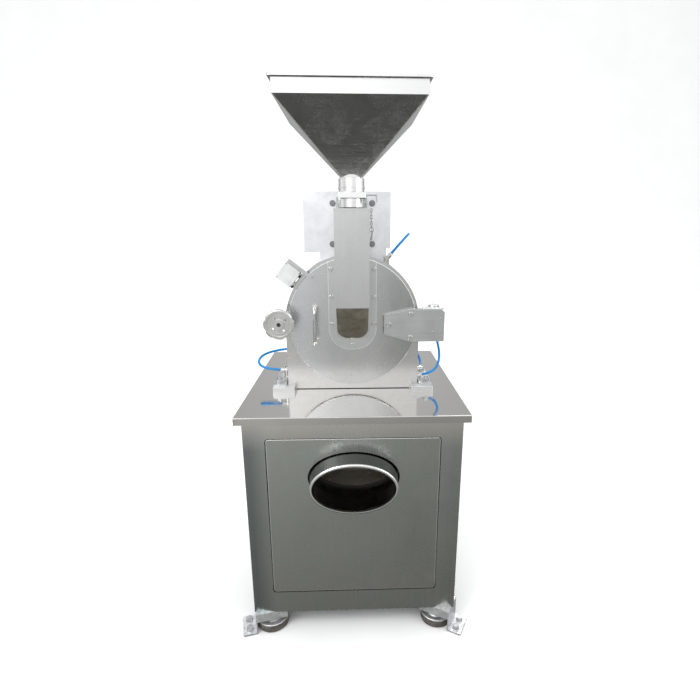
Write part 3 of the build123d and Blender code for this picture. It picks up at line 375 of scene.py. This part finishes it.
# front panel: painted shade darkens it towards the right, a painted warm reflection lightens it towards the bottom, and
# painted highlights line its edges
p = Patch(MT["panel"])
pv = [v.co for v in NODES["front_panel"].data.vertices]
PX1, PZ0, PZ1 = max(v.x for v in pv), min(v.z for v in pv), max(v.z for v in pv)
p.colour(p.rng(p.x, -0.02, 0.22, 0.0, 0.45), (0.44, 0.465, 0.43))
p.colour(p.rng(p.z, 0.28, 0.06, 0.0, 0.6), (0.60, 0.58, 0.575))
p.colour(p.any(p.rng(p.ax, PX1 - 0.0024, PX1 - 0.0016), p.rng(p.z, PZ0 + 0.0024, PZ0 + 0.0016), p.rng(p.z, PZ1 - 0.0020, PZ1 - 0.0012)), (0.95, 0.95, 0.93))
# the support plate's steel is coloured near white: painted light for its bright look
MT["support"] = steel("brushed_support", (0.96, 0.965, 0.985), 0.30, (900, 900, 22), tint=(0.76, 0.77, 0.79), cloud=0.06, scratch=0.3, bump=0.04)
MT["hopper"] = steel("brushed_hopper", (0.90, 0.905, 0.90), 0.22, (22, 900, 900), cloud=0.04, scratch=0.12, bump=0.025)
MT["mirror"] = steel("polished_top", (0.74, 0.73, 0.71), 0.06, (4, 300, 300), cloud=0.05, bump=0.05, wave=0.02, spread=0.05, scratch=0.35)
# table top: painted shade makes its folded front lip a little darker than the polished top
p = Patch(MT["mirror"])
p.colour(p.rng(p.y, -0.3078, -0.3083), (0.58, 0.57, 0.55))
MT["rail"] = steel("milled_rail", (0.68, 0.69, 0.69), 0.30, (400, 7, 400), cloud=0.10)
# the spout's steel is coloured nearly black: painted shade for the dark reflections on its top
MT["spout"] = steel("polished_spout", (0.12, 0.12, 0.115), 0.17, (14, 700, 700), cloud=0.10, bump=0.04, scratch=0.2)
# spout: a painted highlight on the rolled bead at the mouth
p = Patch(MT["spout"])
p.colour(p.rng(p.y, -0.3596, -0.3602), (0.93, 0.93, 0.92))
MT["neck"] = steel("bright_neck", (0.96, 0.96, 0.95), 0.22, (260, 260, 8), cloud=0.08, bump=0.15)
MT["bracket"] = steel("brushed_bracket", (0.63, 0.64, 0.64), 0.36, (8, 420, 420), cloud=0.10)
MT["inside"] = steel("dull_inside", (0.50, 0.47, 0.40), 0.22, (200, 200, 200), cloud=0.25, wave=2.2)
MT["inside"].node_tree.nodes["Principled BSDF"].inputs["Metallic"].default_value = 0.15
# painted shade darkens the hopper's front wall round the spout
p = Patch(MT["inside"])
p.colour(p.rng(p.y, -0.2362, -0.2372), (0.035, 0.033, 0.030))
MT["handle"] = steel("polished_rod", (0.74, 0.74, 0.73), 0.20, (300, 300, 30), cloud=0.06, bump=0.10)
MT["wheel"] = turned("turned_wheel", (0.72, 0.72, 0.71), 0.28, 1, (-0.2025, 0.0, 0.8845))
MT["pin"] = turned("turned_pin", (0.66, 0.66, 0.65), 0.28, 2, (0.241, -0.058, 0.0))
MT["shaft"] = turned("turned_shaft", (0.55, 0.55, 0.54), 0.27, 1, (0.0, 0.0, 0.876))
MT["mshaft"] = turned("turned_motor_shaft", (0.55, 0.55, 0.54), 0.27, 1, (0.0, 0.0, 0.250))
MT["hard"] = steel("hardened", (0.36, 0.35, 0.34), 0.36, (200, 200, 200), cloud=0.2)
MT["zinc"] = zinc("zinc_plate", (0.80, 0.81, 0.82))
MT["bolt"] = zinc("zinc_bolt", (0.50, 0.51, 0.52))
MT["darkbolt"] = steel("plate_bolt", (0.30, 0.30, 0.31), 0.24, (400, 400, 400), cloud=0.15)
MT["screw"] = steel("button_screw", (0.66, 0.66, 0.65), 0.26, (500, 500, 500), cloud=0.12)
MT["frame"] = painted("painted_frame", (0.11, 0.12, 0.125))
MT["motor"] = painted("motor_enamel", (0.10, 0.145, 0.17), 0.36)
MT["cast"] = cast("cast_iron", (0.16, 0.16, 0.165))
MT["rubber"] = rubber("foot_rubber", (0.060, 0.055, 0.050), 0.55, 0.70, (0.19, 0.175, 0.155))
MT["belt"] = rubber("belt_rubber", (0.02, 0.02, 0.021), 0.6, 0.25)
MT["seal"] = rubber("seal_silicone", (0.42, 0.42, 0.40), 0.5, 0.3)
MT["hose"] = plastic("blue_hose", (0.0, 0.215, 0.56), 0.34, 0.10, 0.10, Specular_IOR_Level=0.4)
MT["fitting"] = steel("nickel_fitting", (0.74, 0.73, 0.70), 0.22, (350, 350, 350), cloud=0.10)
MT["collet"] = plastic("white_collet", (0.78, 0.78, 0.75), 0.38)
MT["switch"] = plastic("switch_case", (0.58, 0.59, 0.585), 0.42, 0.06, 0.35)
MT["black"] = plastic("black_moulding", (0.016, 0.016, 0.017), 0.45, 0.3, 0.4)
MT["weld"] = steel("weld_bead", (0.58, 0.57, 0.55), 0.34, (300, 300, 300), cloud=0.18, tint=(0.50, 0.44, 0.36))

USE = {
 "table_top": "mirror", "cabinet_side_left": "cab", "cabinet_side_right": "cab", "cabinet_back": "cab", "cabinet_front_frame": "cab",
 "front_panel": "panel", "base_frame": "frame", "foot_pads": "rubber", "foot_cups": "zinc", "foot_brackets": "zinc",
 "foot_bracket_bolts": "bolt", "discharge_hopper": "inside", "discharge_spout": "spout", "chamber_front_plate": "plate",
 "chamber_shell": "sheet", "chamber_back_plate": "sheet", "chamber_foot_rails": "rail", "chamber_foot_bolts": "bolt",
 "toothed_liner": "hard", "sieve_screen": "sheet", "bearing_housing": "cast", "bearings": "hard", "rotor_shaft": "shaft",
 "rotor_discs": "hard", "hammer_pack_1": "hard", "hammer_pack_2": "hard", "hammer_pack_3": "hard", "hammer_pack_4": "hard",
 "rotor_pulley": "cast", "motor_pulley": "cast", "v_belts": "belt", "motor_body": "motor", "motor_shaft": "mshaft",
 "motor_terminal_box": "motor", "belt_guard": "sheet", "support_plate": "support", "hopper_bracket": "bracket",
 "support_plate_bolts": "darkbolt", "hopper": "hopper", "hopper_neck": "neck", "gate_housing": "neck", "gate_slide": "bracket",
 "door_plate": "door", "door_gasket": "seal", "feed_chute": "chute", "pull_handle": "handle", "hinge_bracket": "bracket",
 "door_screws": "screw", "hinge_pin": "pin", "hinge_base": "rail", "clamp_boss": "rail", "handwheel": "wheel",
 "clamp_collar": "wheel", "switch_box": "switch", "switch_actuator": "bracket", "water_fittings": "fitting",
}
for n, key in USE.items():
    o = NODES[n]
    o.data.materials.clear()
    o.data.materials.append(MT[key])


# ------------------------------------------------------------------ geometry helpers
def add(name, bm, mat, body, smooth=True):
    me = bpy.data.meshes.new(name)
    bm.to_mesh(me)
    bm.free()
    for p in me.polygons:
        p.use_smooth = smooth
    o = bpy.data.objects.new(name, me)
    bpy.context.scene.collection.objects.link(o)
    me.materials.append(MT[mat])
    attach(o, body)
    return o


def weld(name, pts, r, body, closed=False, pitch=0.0026):
    """A weld bead: a rippled, slightly uneven rope of metal laid along a path."""
    rnd = random.Random(name)
    P = [Vector(p) for p in pts]
    if closed:
        P.append(P[0])
    segs, out = [], []
    for a, b in zip(P, P[1:]):
        n = max(2, int((b - a).length / (pitch / 4)))
        for i in range(n):
            out.append(a.lerp(b, i / n))
    if not closed:
        out.append(P[-1])
    bm = bmesh.new()
    rings, s, prev = [], 0.0, out[0]
    N = 8
    for i, p in enumerate(out):
        s += (p - prev).length
        prev = p
        t = (out[(i + 1) % len(out)] - out[i - 1]) if closed else (out[min(i + 1, len(out) - 1)] - out[max(i - 1, 0)])
        t.normalize()
        u = t.orthogonal().normalized()
        w = t.cross(u)
        ph = (s / pitch) % 1.0
        rr = r * (0.84 + 0.22 * math.sin(math.pi * ph)) * (1 + 0.10 * noise.noise(p * 160)) 
        if not closed:
            e = min(i, len(out) - 1 - i)
            rr *= min(1.0, 0.25 + e * 0.2)
        rings.append([bm.verts.new(p + (u * math.cos(a) + w * math.sin(a)) * rr) for a in [2 * math.pi * j / N for j in range(N)]])
    m = len(rings)
    for i in range(m if closed else m - 1):
        A, B = rings[i], rings[(i + 1) % m]
        # rings made from different orthogonals can be turned: match the nearest vertex
        off = min(range(N), key=lambda q: (A[0].co - B[q].co).length)
        for j in range(N):
            bm.faces.new((A[j], A[(j + 1) % N], B[(j + 1 + off) % N], B[(j + off) % N]))
    if not closed:
        bm.faces.new(rings[0][::-1])
        bm.faces.new(rings[-1])
    bmesh.ops.recalc_face_normals(bm, faces=bm.faces)
    return add(name, bm, "weld", body)


def hose(name, node, pts, dia):
    cu = bpy.data.curves.new(name, "CURVE")
    cu.dimensions = "3D"
    sp = cu.splines.new("NURBS")
    sp.points.add(len(pts) - 1)
    for q, p in zip(sp.points, pts):
        q.co = (p[0] * 0.001, p[1] * 0.001, p[2] * 0.001, 1)
    sp.order_u = 3
    sp.use_endpoint_u = True
    sp.resolution_u = 24
    cu.bevel_depth = dia / 2
    cu.bevel_resolution = 6
    cu.use_fill_caps = True
    o = bpy.data.objects.new(name, cu)
    bpy.context.scene.collection.objects.link(o)
    cu.materials.append(MT["hose"])
    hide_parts(node)
    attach(o, "machine")
    return o


# ------------------------------------------------------------------ hoses
hose("hose_left_tube", "hose_left", [(-214, -58, 724), (-294, -58, 727), (-292, 38, 758), (-200, 44, 765)], 0.0075)
hose("hose_right_tube", "hose_right", [(207, -56, 703), (247, -60, 711), (268, -48, 746), (270, -10, 786), (257, 46, 836), (190, 50, 858)], 0.0075)
hose("hose_right_inner_tube", "hose_right_inner", [(212, -18, 716), (222, 30, 728), (196, 58, 764), (150, 58, 782)], 0.0075)
hose("hose_top_tube", "hose_top", [(112, -30, 1066), (165, -28, 1125), (175, 52, 1125), (118, 54, 1062), (92, 54, 1018)], 0.0075)


def collet(name, end, nxt):
    """The pale release ring of a push-in fitting, round the hose where it leaves."""
    e, n = Vector(end) * 0.001, Vector(nxt) * 0.001
    d = (n - e).normalized()
    u = d.orthogonal().normalized()
    w = d.cross(u)
    prof = [(0.0039, 0.0001), (0.0058, 0.0001), (0.0058, 0.0012), (0.0051, 0.0016), (0.0051, 0.0030), (0.0060, 0.0036), (0.0060, 0.0048), (0.0055, 0.0053), (0.0039, 0.0053)]
    bm = bmesh.new()
    N = 28
    rings = [[bm.verts.new(e + d * h + (u * math.cos(a) + w * math.sin(a)) * r) for a in [2 * math.pi * j / N for j in range(N)]] for r, h in prof]
    for i in range(len(rings)):
        A, B = rings[i], rings[(i + 1) % len(rings)]
        for j in range(N):
            bm.faces.new((A[j], A[(j + 1) % N], B[(j + 1) % N], B[j]))
    bmesh.ops.recalc_face_normals(bm, faces=bm.faces)
    o = add(name, bm, "collet", "machine")
    return o


collet("collet_left_a", (-214, -58, 724), (-294, -58, 727))
collet("collet_left_b", (-200, 44, 765), (-292, 38, 758))
collet("collet_right_a", (207, -56, 703), (247, -60, 711))
collet("collet_right_b", (190, 50, 858), (257, 46, 836))
collet("collet_inner_a", (212, -18, 716), (222, 30, 728))
collet("collet_inner_b", (150, 58, 782), (196, 58, 764))
collet("collet_top_a", (112, -30, 1066), (165, -28, 1125))
collet("collet_top_b", (92, 54, 1018), (118, 54, 1062))


# ------------------------------------------------------------------ weld beads
def mm(*p):
    return tuple(v * 0.001 for v in p)


def arc_pts(r, y, a0, a1, n=48, z=876.0):
    return [mm(r * math.cos(math.radians(a0 + (a1 - a0) * i / n)), y, z + r * math.sin(math.radians(a0 + (a1 - a0) * i / n))) for i in range(n + 1)]


for tag, y in (("front", -72.4), ("back", 16.4)):
    weld("weld_shell_" + tag, [mm(189.8, y, 694)] + arc_pts(189.8, y, 0, 180) + [mm(-189.8, y, 694)], 0.0016, "machine")
weld("weld_support", arc_pts(190.2, -13.4, 58.4, 119.5, 20), 0.0016, "machine")
weld("weld_hinge_base", [mm(195.4, -69, 839), mm(195.4, -12, 839), mm(195.4, -12, 901), mm(195.4, -69, 901)], 0.0013, "machine")
weld("weld_clamp_boss", [mm(-195.6, -71, 866.2), mm(-195.6, -54, 866.2)], 0.0013, "machine")
weld("weld_clamp_boss_top", [mm(-195.6, -71, 902.8), mm(-195.6, -54, 902.8)], 0.0013, "machine")
FY, HX, HY = -138.0, 174.5, 152.0
for i, (sx, sy) in enumerate(((-1, -1), (1, -1), (-1, 1), (1, 1))):
    weld(f"seam_hopper_{i}", [mm(sx * 25.2, FY + sy * 25.2, 1266.4), mm(sx * 174.2, FY + sy * 151.8, 1427.2)], 0.00085, "machine", pitch=0.0018)
    weld(f"seam_skirt_{i}", [mm(sx * HX, FY + sy * HY, 1428.5), mm(sx * HX, FY + sy * HY, 1458.5)], 0.0007, "machine", pitch=0.0018)
weld("weld_neck_top", [mm(24.9, FY - 24.9, 1265.3), mm(24.9, FY + 24.9, 1265.3), mm(-24.9, FY + 24.9, 1265.3), mm(-24.9, FY - 24.9, 1265.3)], 0.0012, "machine", closed=True)
weld("weld_neck_flange", [mm(34.4 * math.cos(a), FY + 34.4 * math.sin(a), 1230.3) for a in [2 * math.pi * i / 48 for i in range(48)]], 0.0011, "machine", closed=True)
weld("weld_gate_tube", [mm(34.4 * math.cos(a), FY + 34.4 * math.sin(a), 1215.6) for a in [2 * math.pi * i / 48 for i in range(48)]], 0.0011, "machine", closed=True)
for s, tag in ((-1, "left"), (1, "right")):
    weld("weld_chute_" + tag, [mm(s * 46.3, -95.7, 862), mm(s * 46.3, -95.7, 1048)], 0.0012, "door")
    weld("weld_rail_" + tag, [mm(s * 195.6, -83.6, 687), mm(s * 172.6, -83.6, 687)], 0.0013, "machine")
for z in (920, 818):
    weld(f"weld_handle_{z}", [mm(-107 + 8.7 * math.cos(a), -93.7, z + 8.7 * math.sin(a)) for a in [2 * math.pi * i / 28 for i in range(28)]], 0.0008, "door", closed=True, pitch=0.0016)


# ------------------------------------------------------------------ lathe, screws and small parts
def lathe(name, prof, origin, axis, mat, body, n=32, rot=0.0, sides=None):
    """Spins (radius, height) pairs round an axis through origin; sides=6 gives flats."""
    o = Vector(origin)
    d = Vector(axis).normalized()
    u = d.orthogonal().normalized()
    w = d.cross(u)
    bm = bmesh.new()
    m = sides or n
    rings = []
    for r, h in prof:
        if r < 1e-6:
            rings.append([bm.verts.new(o + d * h)])
        else:
            rings.append([bm.verts.new(o + d * h + (u * math.cos(a) + w * math.sin(a)) * r) for a in [rot + 2 * math.pi * j / m for j in range(m)]])
    for A, B in zip(rings, rings[1:]):
        for j in range(m):
            if len(A) == 1 and len(B) == 1:
                continue
            if len(A) == 1:
                bm.faces.new((A[0], B[(j + 1) % m], B[j]))
            elif len(B) == 1:
                bm.faces.new((A[j], A[(j + 1) % m], B[0]))
            else:
                bm.faces.new((A[j], A[(j + 1) % m], B[(j + 1) % m], B[j]))
    for rg, flip in ((rings[0], True), (rings[-1], False)):
        if len(rg) > 1:
            bm.faces.new(rg[::-1] if flip else rg)
    bmesh.ops.recalc_face_normals(bm, faces=bm.faces)
    ob = add(name, bm, mat, body)
    for p in ob.data.polygons:
        p.use_smooth = True
    ob.data.set_sharp_from_angle(angle=math.radians(35))
    return ob


PAN = [(0.0, 0.0), (0.0044, 0.0), (0.0044, 0.0006), (0.0041, 0.0016), (0.0030, 0.0024), (0.0014, 0.0027), (0.0013, 0.0014), (0.0, 0.0012)]
k_ = 0
for x in (-262, 262):
    for z in (92, 232, 392, 560):
        lathe(f"back_screw_{k_}", PAN, mm(x, 349.9, z), (0, 1, 0), "screw", "machine")
        k_ += 1
k_ = 0
for s in (-1, 1):
    for y in (-268, 330):
        for z in (86, 630):
            lathe(f"side_screw_{k_}", PAN, mm(s * 289.4, y, z), (s, 0, 0), "screw", "machine")
            k_ += 1
k_ = 0
for x in (-121, 121):
    for y in (248, 318):
        lathe(f"guard_screw_{k_}", PAN, mm(x, y, 672.9), (0, 0, 1), "screw", "machine")
        k_ += 1
# screws in the lid of the interlock switch, its dark seal and the two dark spacers
SA = math.radians(142.0)
RAD, TAN = Vector((math.cos(SA), 0, math.sin(SA))), Vector((-math.sin(SA), 0, math.cos(SA)))


def sw(x, y, z):
    """Local switch place: x along the radius, y towards the back, z along the arch."""
    return Vector((0, y * 0.001, 0.876)) + RAD * x * 0.001 + TAN * z * 0.001


SMALL = [(0.0, 0.0), (0.0022, 0.0), (0.0022, 0.0004), (0.0018, 0.0010), (0.0008, 0.0013), (0.0007, 0.0006), (0.0, 0.0005)]
for i, (x, z) in enumerate(((205.4, 22.4), (205.4, -22.4), (248.4, 22.4), (248.4, -22.4))):
    lathe(f"switch_screw_{i}", SMALL, sw(x, -111.9, z), (0, -1, 0), "screw", "machine", n=20)
for i, z in enumerate((22, -14)):
    lathe(f"switch_spacer_{i}", [(0.0, 0.0), (0.0040, 0.0), (0.0046, 0.0005), (0.0046, 0.0034), (0.0038, 0.0040), (0.0038, 0.0066), (0.0, 0.0066)], sw(195.6, -98, z), RAD, "black", "machine", n=24)
bm = bmesh.new()
ring_o, ring_i = [], []
for dx, dz in ((-1, -1), (1, -1), (1, 1), (-1, 1)):
    for j in range(6):
        a = math.atan2(dz, dx) - math.pi / 4 + math.pi / 2 * j / 5
        cx, cz = 227 + dx * 22.1, dz * 23.1
        ring_o.append((cx + 3.3 * math.cos(a), cz + 3.3 * math.sin(a)))
        ring_i.append((cx + 2.2 * math.cos(a), cz + 2.2 * math.sin(a)))
L = []
for pts, y in ((ring_o, -93.6), (ring_o, -91.4), (ring_i, -91.4), (ring_i, -93.6)):
    L.append([bm.verts.new(sw(x, y, z)) for x, z in pts])
for q in range(4):
    A, B = L[q], L[(q + 1) % 4]
    for j in range(len(A)):
        bm.faces.new((A[j], A[(j + 1) % len(A)], B[(j + 1) % len(A)], B[j]))
bmesh.ops.recalc_face_normals(bm, faces=bm.faces)
add("switch_seal", bm, "black", "machine")
# dark plug in the clamp wheel's hub, also standing as painted shade for the dark centre hole
lathe("wheel_plug_and_hole_shade", [(0.0, -0.0004), (0.0054, -0.0004), (0.0054, 0.0040), (0.0046, 0.0046), (0.0034, 0.0038), (0.0, 0.0034)], mm(-202.5, -161.5, 884.5), (0, -1, 0), "black", "handwheel")
# sealing bead under the chamber's front plate, black so that it also stands as painted shade along the joint
bm = bmesh.new()
n = 120
rows = []
for i in range(n + 1):
    x = -171 + 342 * i / n
    b = 0.22 * noise.noise(Vector((x * 0.09, 3.1, 0)))
    rows.append([bm.verts.new(mm(x, y, z)) for y, z in ((-83.02, 670.05), (-84.2 - b, 670.05), (-84.3 - b, 670.9), (-83.7 - b, 671.7 + b), (-83.02, 672.0 + b))])
for A, B in zip(rows, rows[1:]):
    for j in range(5):
        bm.faces.new((A[j], A[(j + 1) % 5], B[(j + 1) % 5], B[j]))
bm.faces.new(rows[0][::-1])
bm.faces.new(rows[-1])
bmesh.ops.recalc_face_normals(bm, faces=bm.faces)
add("plate_seal_and_joint_shade", bm, "black", "machine")


# ------------------------------------------------------------------ short chain and locking pin beside the chute
def link(name, c, length, width, wire, turn, tilt=0.0):
    """One oval chain link, long axis upright."""
    bm = bmesh.new()
    c = Vector(c)
    M = Matrix.Rotation(turn, 3, "Z") @ Matrix.Rotation(tilt, 3, "Y")
    N, K = 36, 10
    rr, hh = width / 2 - wire, length / 2 - width / 2
    pts = []
    for j in range(N):
        a = 2 * math.pi * j / N
        x, z = rr * math.cos(a), rr * math.sin(a)
        z += hh if math.sin(a) >= 0 else -hh
        pts.append(Vector((x, 0, z)))
    rings = []
    for j in range(N):
        t = (pts[(j + 1) % N] - pts[j - 1]).normalized()
        u = Vector((0, 1, 0))
        w_ = t.cross(u)
        rings.append([bm.verts.new(c + M @ (pts[j] + (u * math.cos(b) + w_ * math.sin(b)) * wire)) for b in [2 * math.pi * q / K for q in range(K)]])
    for j in range(N):
        A, B = rings[j], rings[(j + 1) % N]
        for q in range(K):
            bm.faces.new((A[q], A[(q + 1) % K], B[(q + 1) % K], B[q]))
    bmesh.ops.recalc_face_normals(bm, faces=bm.faces)
    return add(name, bm, "screw", "machine")


z = 1196.0
for i in range(6):
    link(f"chain_link_{i}", mm(57.5 + 0.3 * math.sin(i * 1.7), -18.0, z - 5.6), 0.0128, 0.0078, 0.00105, 0.25 + (i % 2) * math.pi / 2, 0.06 * math.sin(i * 2.1))
    z -= 8.7
link("chain_ring", mm(58.2, -18.0, z - 6.2), 0.0150, 0.0142, 0.0009, 0.25)
lathe("lock_pin", [(0.0, 0.0), (0.0019, 0.0010), (0.0024, 0.0030), (0.0024, 0.0270), (0.0042, 0.0275), (0.0042, 0.0300), (0.0030, 0.0312), (0.0, 0.0315)], mm(55.5, -18.9, z - 38), (0.16, 0.03, 0.99), "screw", "machine", n=24)

# ------------------------------------------------------------------ camera
cam = bpy.data.cameras.new("camera")
cam.sensor_width = 36.0
cam.lens = 24.10
cam.shift_x = -0.0289
cam.shift_y = 0.0052
co = bpy.data.objects.new("camera", cam)
co.location = (0.001, -1.4348, 1.1379)
co.rotation_euler = (math.radians(75.144), math.radians(-0.07), math.radians(-2.13))
bpy.context.scene.collection.objects.link(co)
bpy.context.scene.camera = co

# ------------------------------------------------------------------ floor and backdrop, one curved sheet
bm = bmesh.new()
prof = [(-16.0, 0.0)] + [(1.6, 0.0)]
for i in range(1, 17):
    a = math.pi / 2 * i / 16
    prof.append((1.6 + 1.6 * math.sin(a), 1.6 - 1.6 * math.cos(a)))
prof.append((3.2, 6.0))
cols = []
for x in (-16.0, 16.0):
    cols.append([bm.verts.new((x, y, z - 0.0004)) for y, z in prof])
for i in range(len(prof) - 1):
    bm.faces.new((cols[0][i], cols[1][i], cols[1][i + 1], cols[0][i + 1]))
me = bpy.data.meshes.new("floor")
bm.to_mesh(me)
bm.free()
for p in me.polygons:
    p.use_smooth = True
floor = bpy.data.objects.new("floor", me)
bpy.context.scene.collection.objects.link(floor)
fm = Mat("floor_paper", (0.90, 0.90, 0.90), 0.0, 0.85)
fm.color(fm.ramp(fm.noise(fm.mapped(), 3.0, 3.0), [(0.3, (0.885, 0.885, 0.885)), (0.7, (0.915, 0.915, 0.915))]))
me.materials.append(fm.m)
floor.visible_glossy = False

# ------------------------------------------------------------------ soft studio surroundings
w = bpy.data.worlds.new("studio")
bpy.context.scene.world = w
w.use_nodes = True
nt = w.node_tree
bg = nt.nodes["Background"]
tc = nt.nodes.new("ShaderNodeTexCoord")
sep = nt.nodes.new("ShaderNodeSeparateXYZ")
nt.links.new(tc.outputs["Generated"], sep.inputs[0])
mr = nt.nodes.new("ShaderNodeMapRange")
mr.inputs["From Min"].default_value = -1.0
mr.inputs["From Max"].default_value = 1.0
nt.links.new(sep.outputs["Z"], mr.inputs["Value"])
cr = nt.nodes.new("ShaderNodeValToRGB")
stops = [(0.0, (0.035, 0.036, 0.036)), (0.09, (0.055, 0.055, 0.052)), (0.15, (0.19, 0.185, 0.175)), (0.22, (0.235, 0.235, 0.22)), (0.275, (0.28, 0.295, 0.28)), (0.305, (0.42, 0.415, 0.40)),
         (0.335, (0.47, 0.46, 0.445)), (0.37, (0.37, 0.375, 0.37)), (0.43, (0.41, 0.415, 0.415)), (0.485, (0.52, 0.525, 0.53)), (0.52, (0.92, 0.93, 0.94)), (0.60, (1.0, 1.0, 1.0)), (1.0, (0.92, 0.93, 0.94))]
el = cr.color_ramp.elements
while len(el) < len(stops):
    el.new(0.5)
for e, (p, c) in zip(el, stops):
    e.position, e.color = p, (*c, 1)
nt.links.new(mr.outputs["Result"], cr.inputs["Fac"])
# azimuth: soft panels in front, at the sides and behind, with darker gaps between them
at = nt.nodes.new("ShaderNodeMath")
at.operation = "ARCTAN2"
nt.links.new(sep.outputs["X"], at.inputs[0])
nt.links.new(sep.outputs["Y"], at.inputs[1])
ma = nt.nodes.new("ShaderNodeMapRange")
ma.inputs["From Min"].default_value = -math.pi
ma.inputs["From Max"].default_value = math.pi
nt.links.new(at.outputs[0], ma.inputs["Value"])
ca = nt.nodes.new("ShaderNodeValToRGB")
# 0 and 1 are the front, 0.5 the back, 0.25 the left, 0.75 the right
bands = [(0.0, 0.97), (0.03, 1.18), (0.075, 1.10), (0.135, 0.66), (0.17, 0.42), (0.215, 0.72), (0.275, 0.85), (0.335, 0.42), (0.40, 0.30), (0.455, 0.40), (0.50, 0.50),
         (0.545, 0.40), (0.60, 0.28), (0.665, 0.42), (0.725, 1.0), (0.785, 0.92), (0.83, 0.46), (0.865, 0.60), (0.925, 0.80), (0.97, 0.80), (1.0, 0.97)]
ce = ca.color_ramp.elements
while len(ce) < len(bands):
    ce.new(0.5)
for e, (p, v) in zip(ce, bands):
    e.position, e.color = p, (v, v, v, 1)
nt.links.new(ma.outputs["Result"], ca.inputs["Fac"])
mul = nt.nodes.new("ShaderNodeMix")
mul.data_type, mul.blend_type = "RGBA", "MULTIPLY"
# straight up and straight down have no bands
top = nt.nodes.new("ShaderNodeMapRange")
top.inputs["From Min"].default_value = 0.95
top.inputs["From Max"].default_value = 0.45
ab = nt.nodes.new("ShaderNodeMath")
ab.operation = "ABSOLUTE"
nt.links.new(sep.outputs["Z"], ab.inputs[0])
nt.links.new(ab.outputs[0], top.inputs["Value"])
nt.links.new(top.outputs["Result"], mul.inputs[0])
nt.links.new(cr.outputs["Color"], mul.inputs[6])
nt.links.new(ca.outputs["Color"], mul.inputs[7])
# seen directly it is plain white, so the bands only show as reflections
lp = nt.nodes.new("ShaderNodeLightPath")
sel = nt.nodes.new("ShaderNodeMix")
sel.data_type = "RGBA"
nt.links.new(lp.outputs["Is Camera Ray"], sel.inputs[0])
nt.links.new(mul.outputs[2], sel.inputs[6])
sel.inputs[7].default_value = (0.80, 0.80, 0.80, 1)
nt.links.new(sel.outputs[2], bg.inputs["Color"])
bg.inputs["Strength"].default_value = 1.2


def area(name, loc, target, size, power, color=(1, 1, 1)):
    l = bpy.data.lights.new(name, "AREA")
    l.shape = "RECTANGLE"
    l.size, l.size_y = size
    l.energy = power
    l.color = color
    o = bpy.data.objects.new(name, l)
    o.location = loc
    o.rotation_euler = (Vector(target) - Vector(loc)).to_track_quat("-Z", "Y").to_euler()
    bpy.context.scene.collection.objects.link(o)
    return o


area("key", (-1.9, -2.2, 2.9), (0, 0, 0.8), (1.6, 1.6), 62)
area("fill", (2.4, -1.5, 2.1), (0, 0, 0.7), (1.4, 1.8), 22)
area("back", (0.6, 2.4, 3.0), (0, 0, 0.9), (2.2, 1.2), 36)

bpy.context.scene.view_settings.view_transform = "Standard"
bpy.context.view_layer.update()
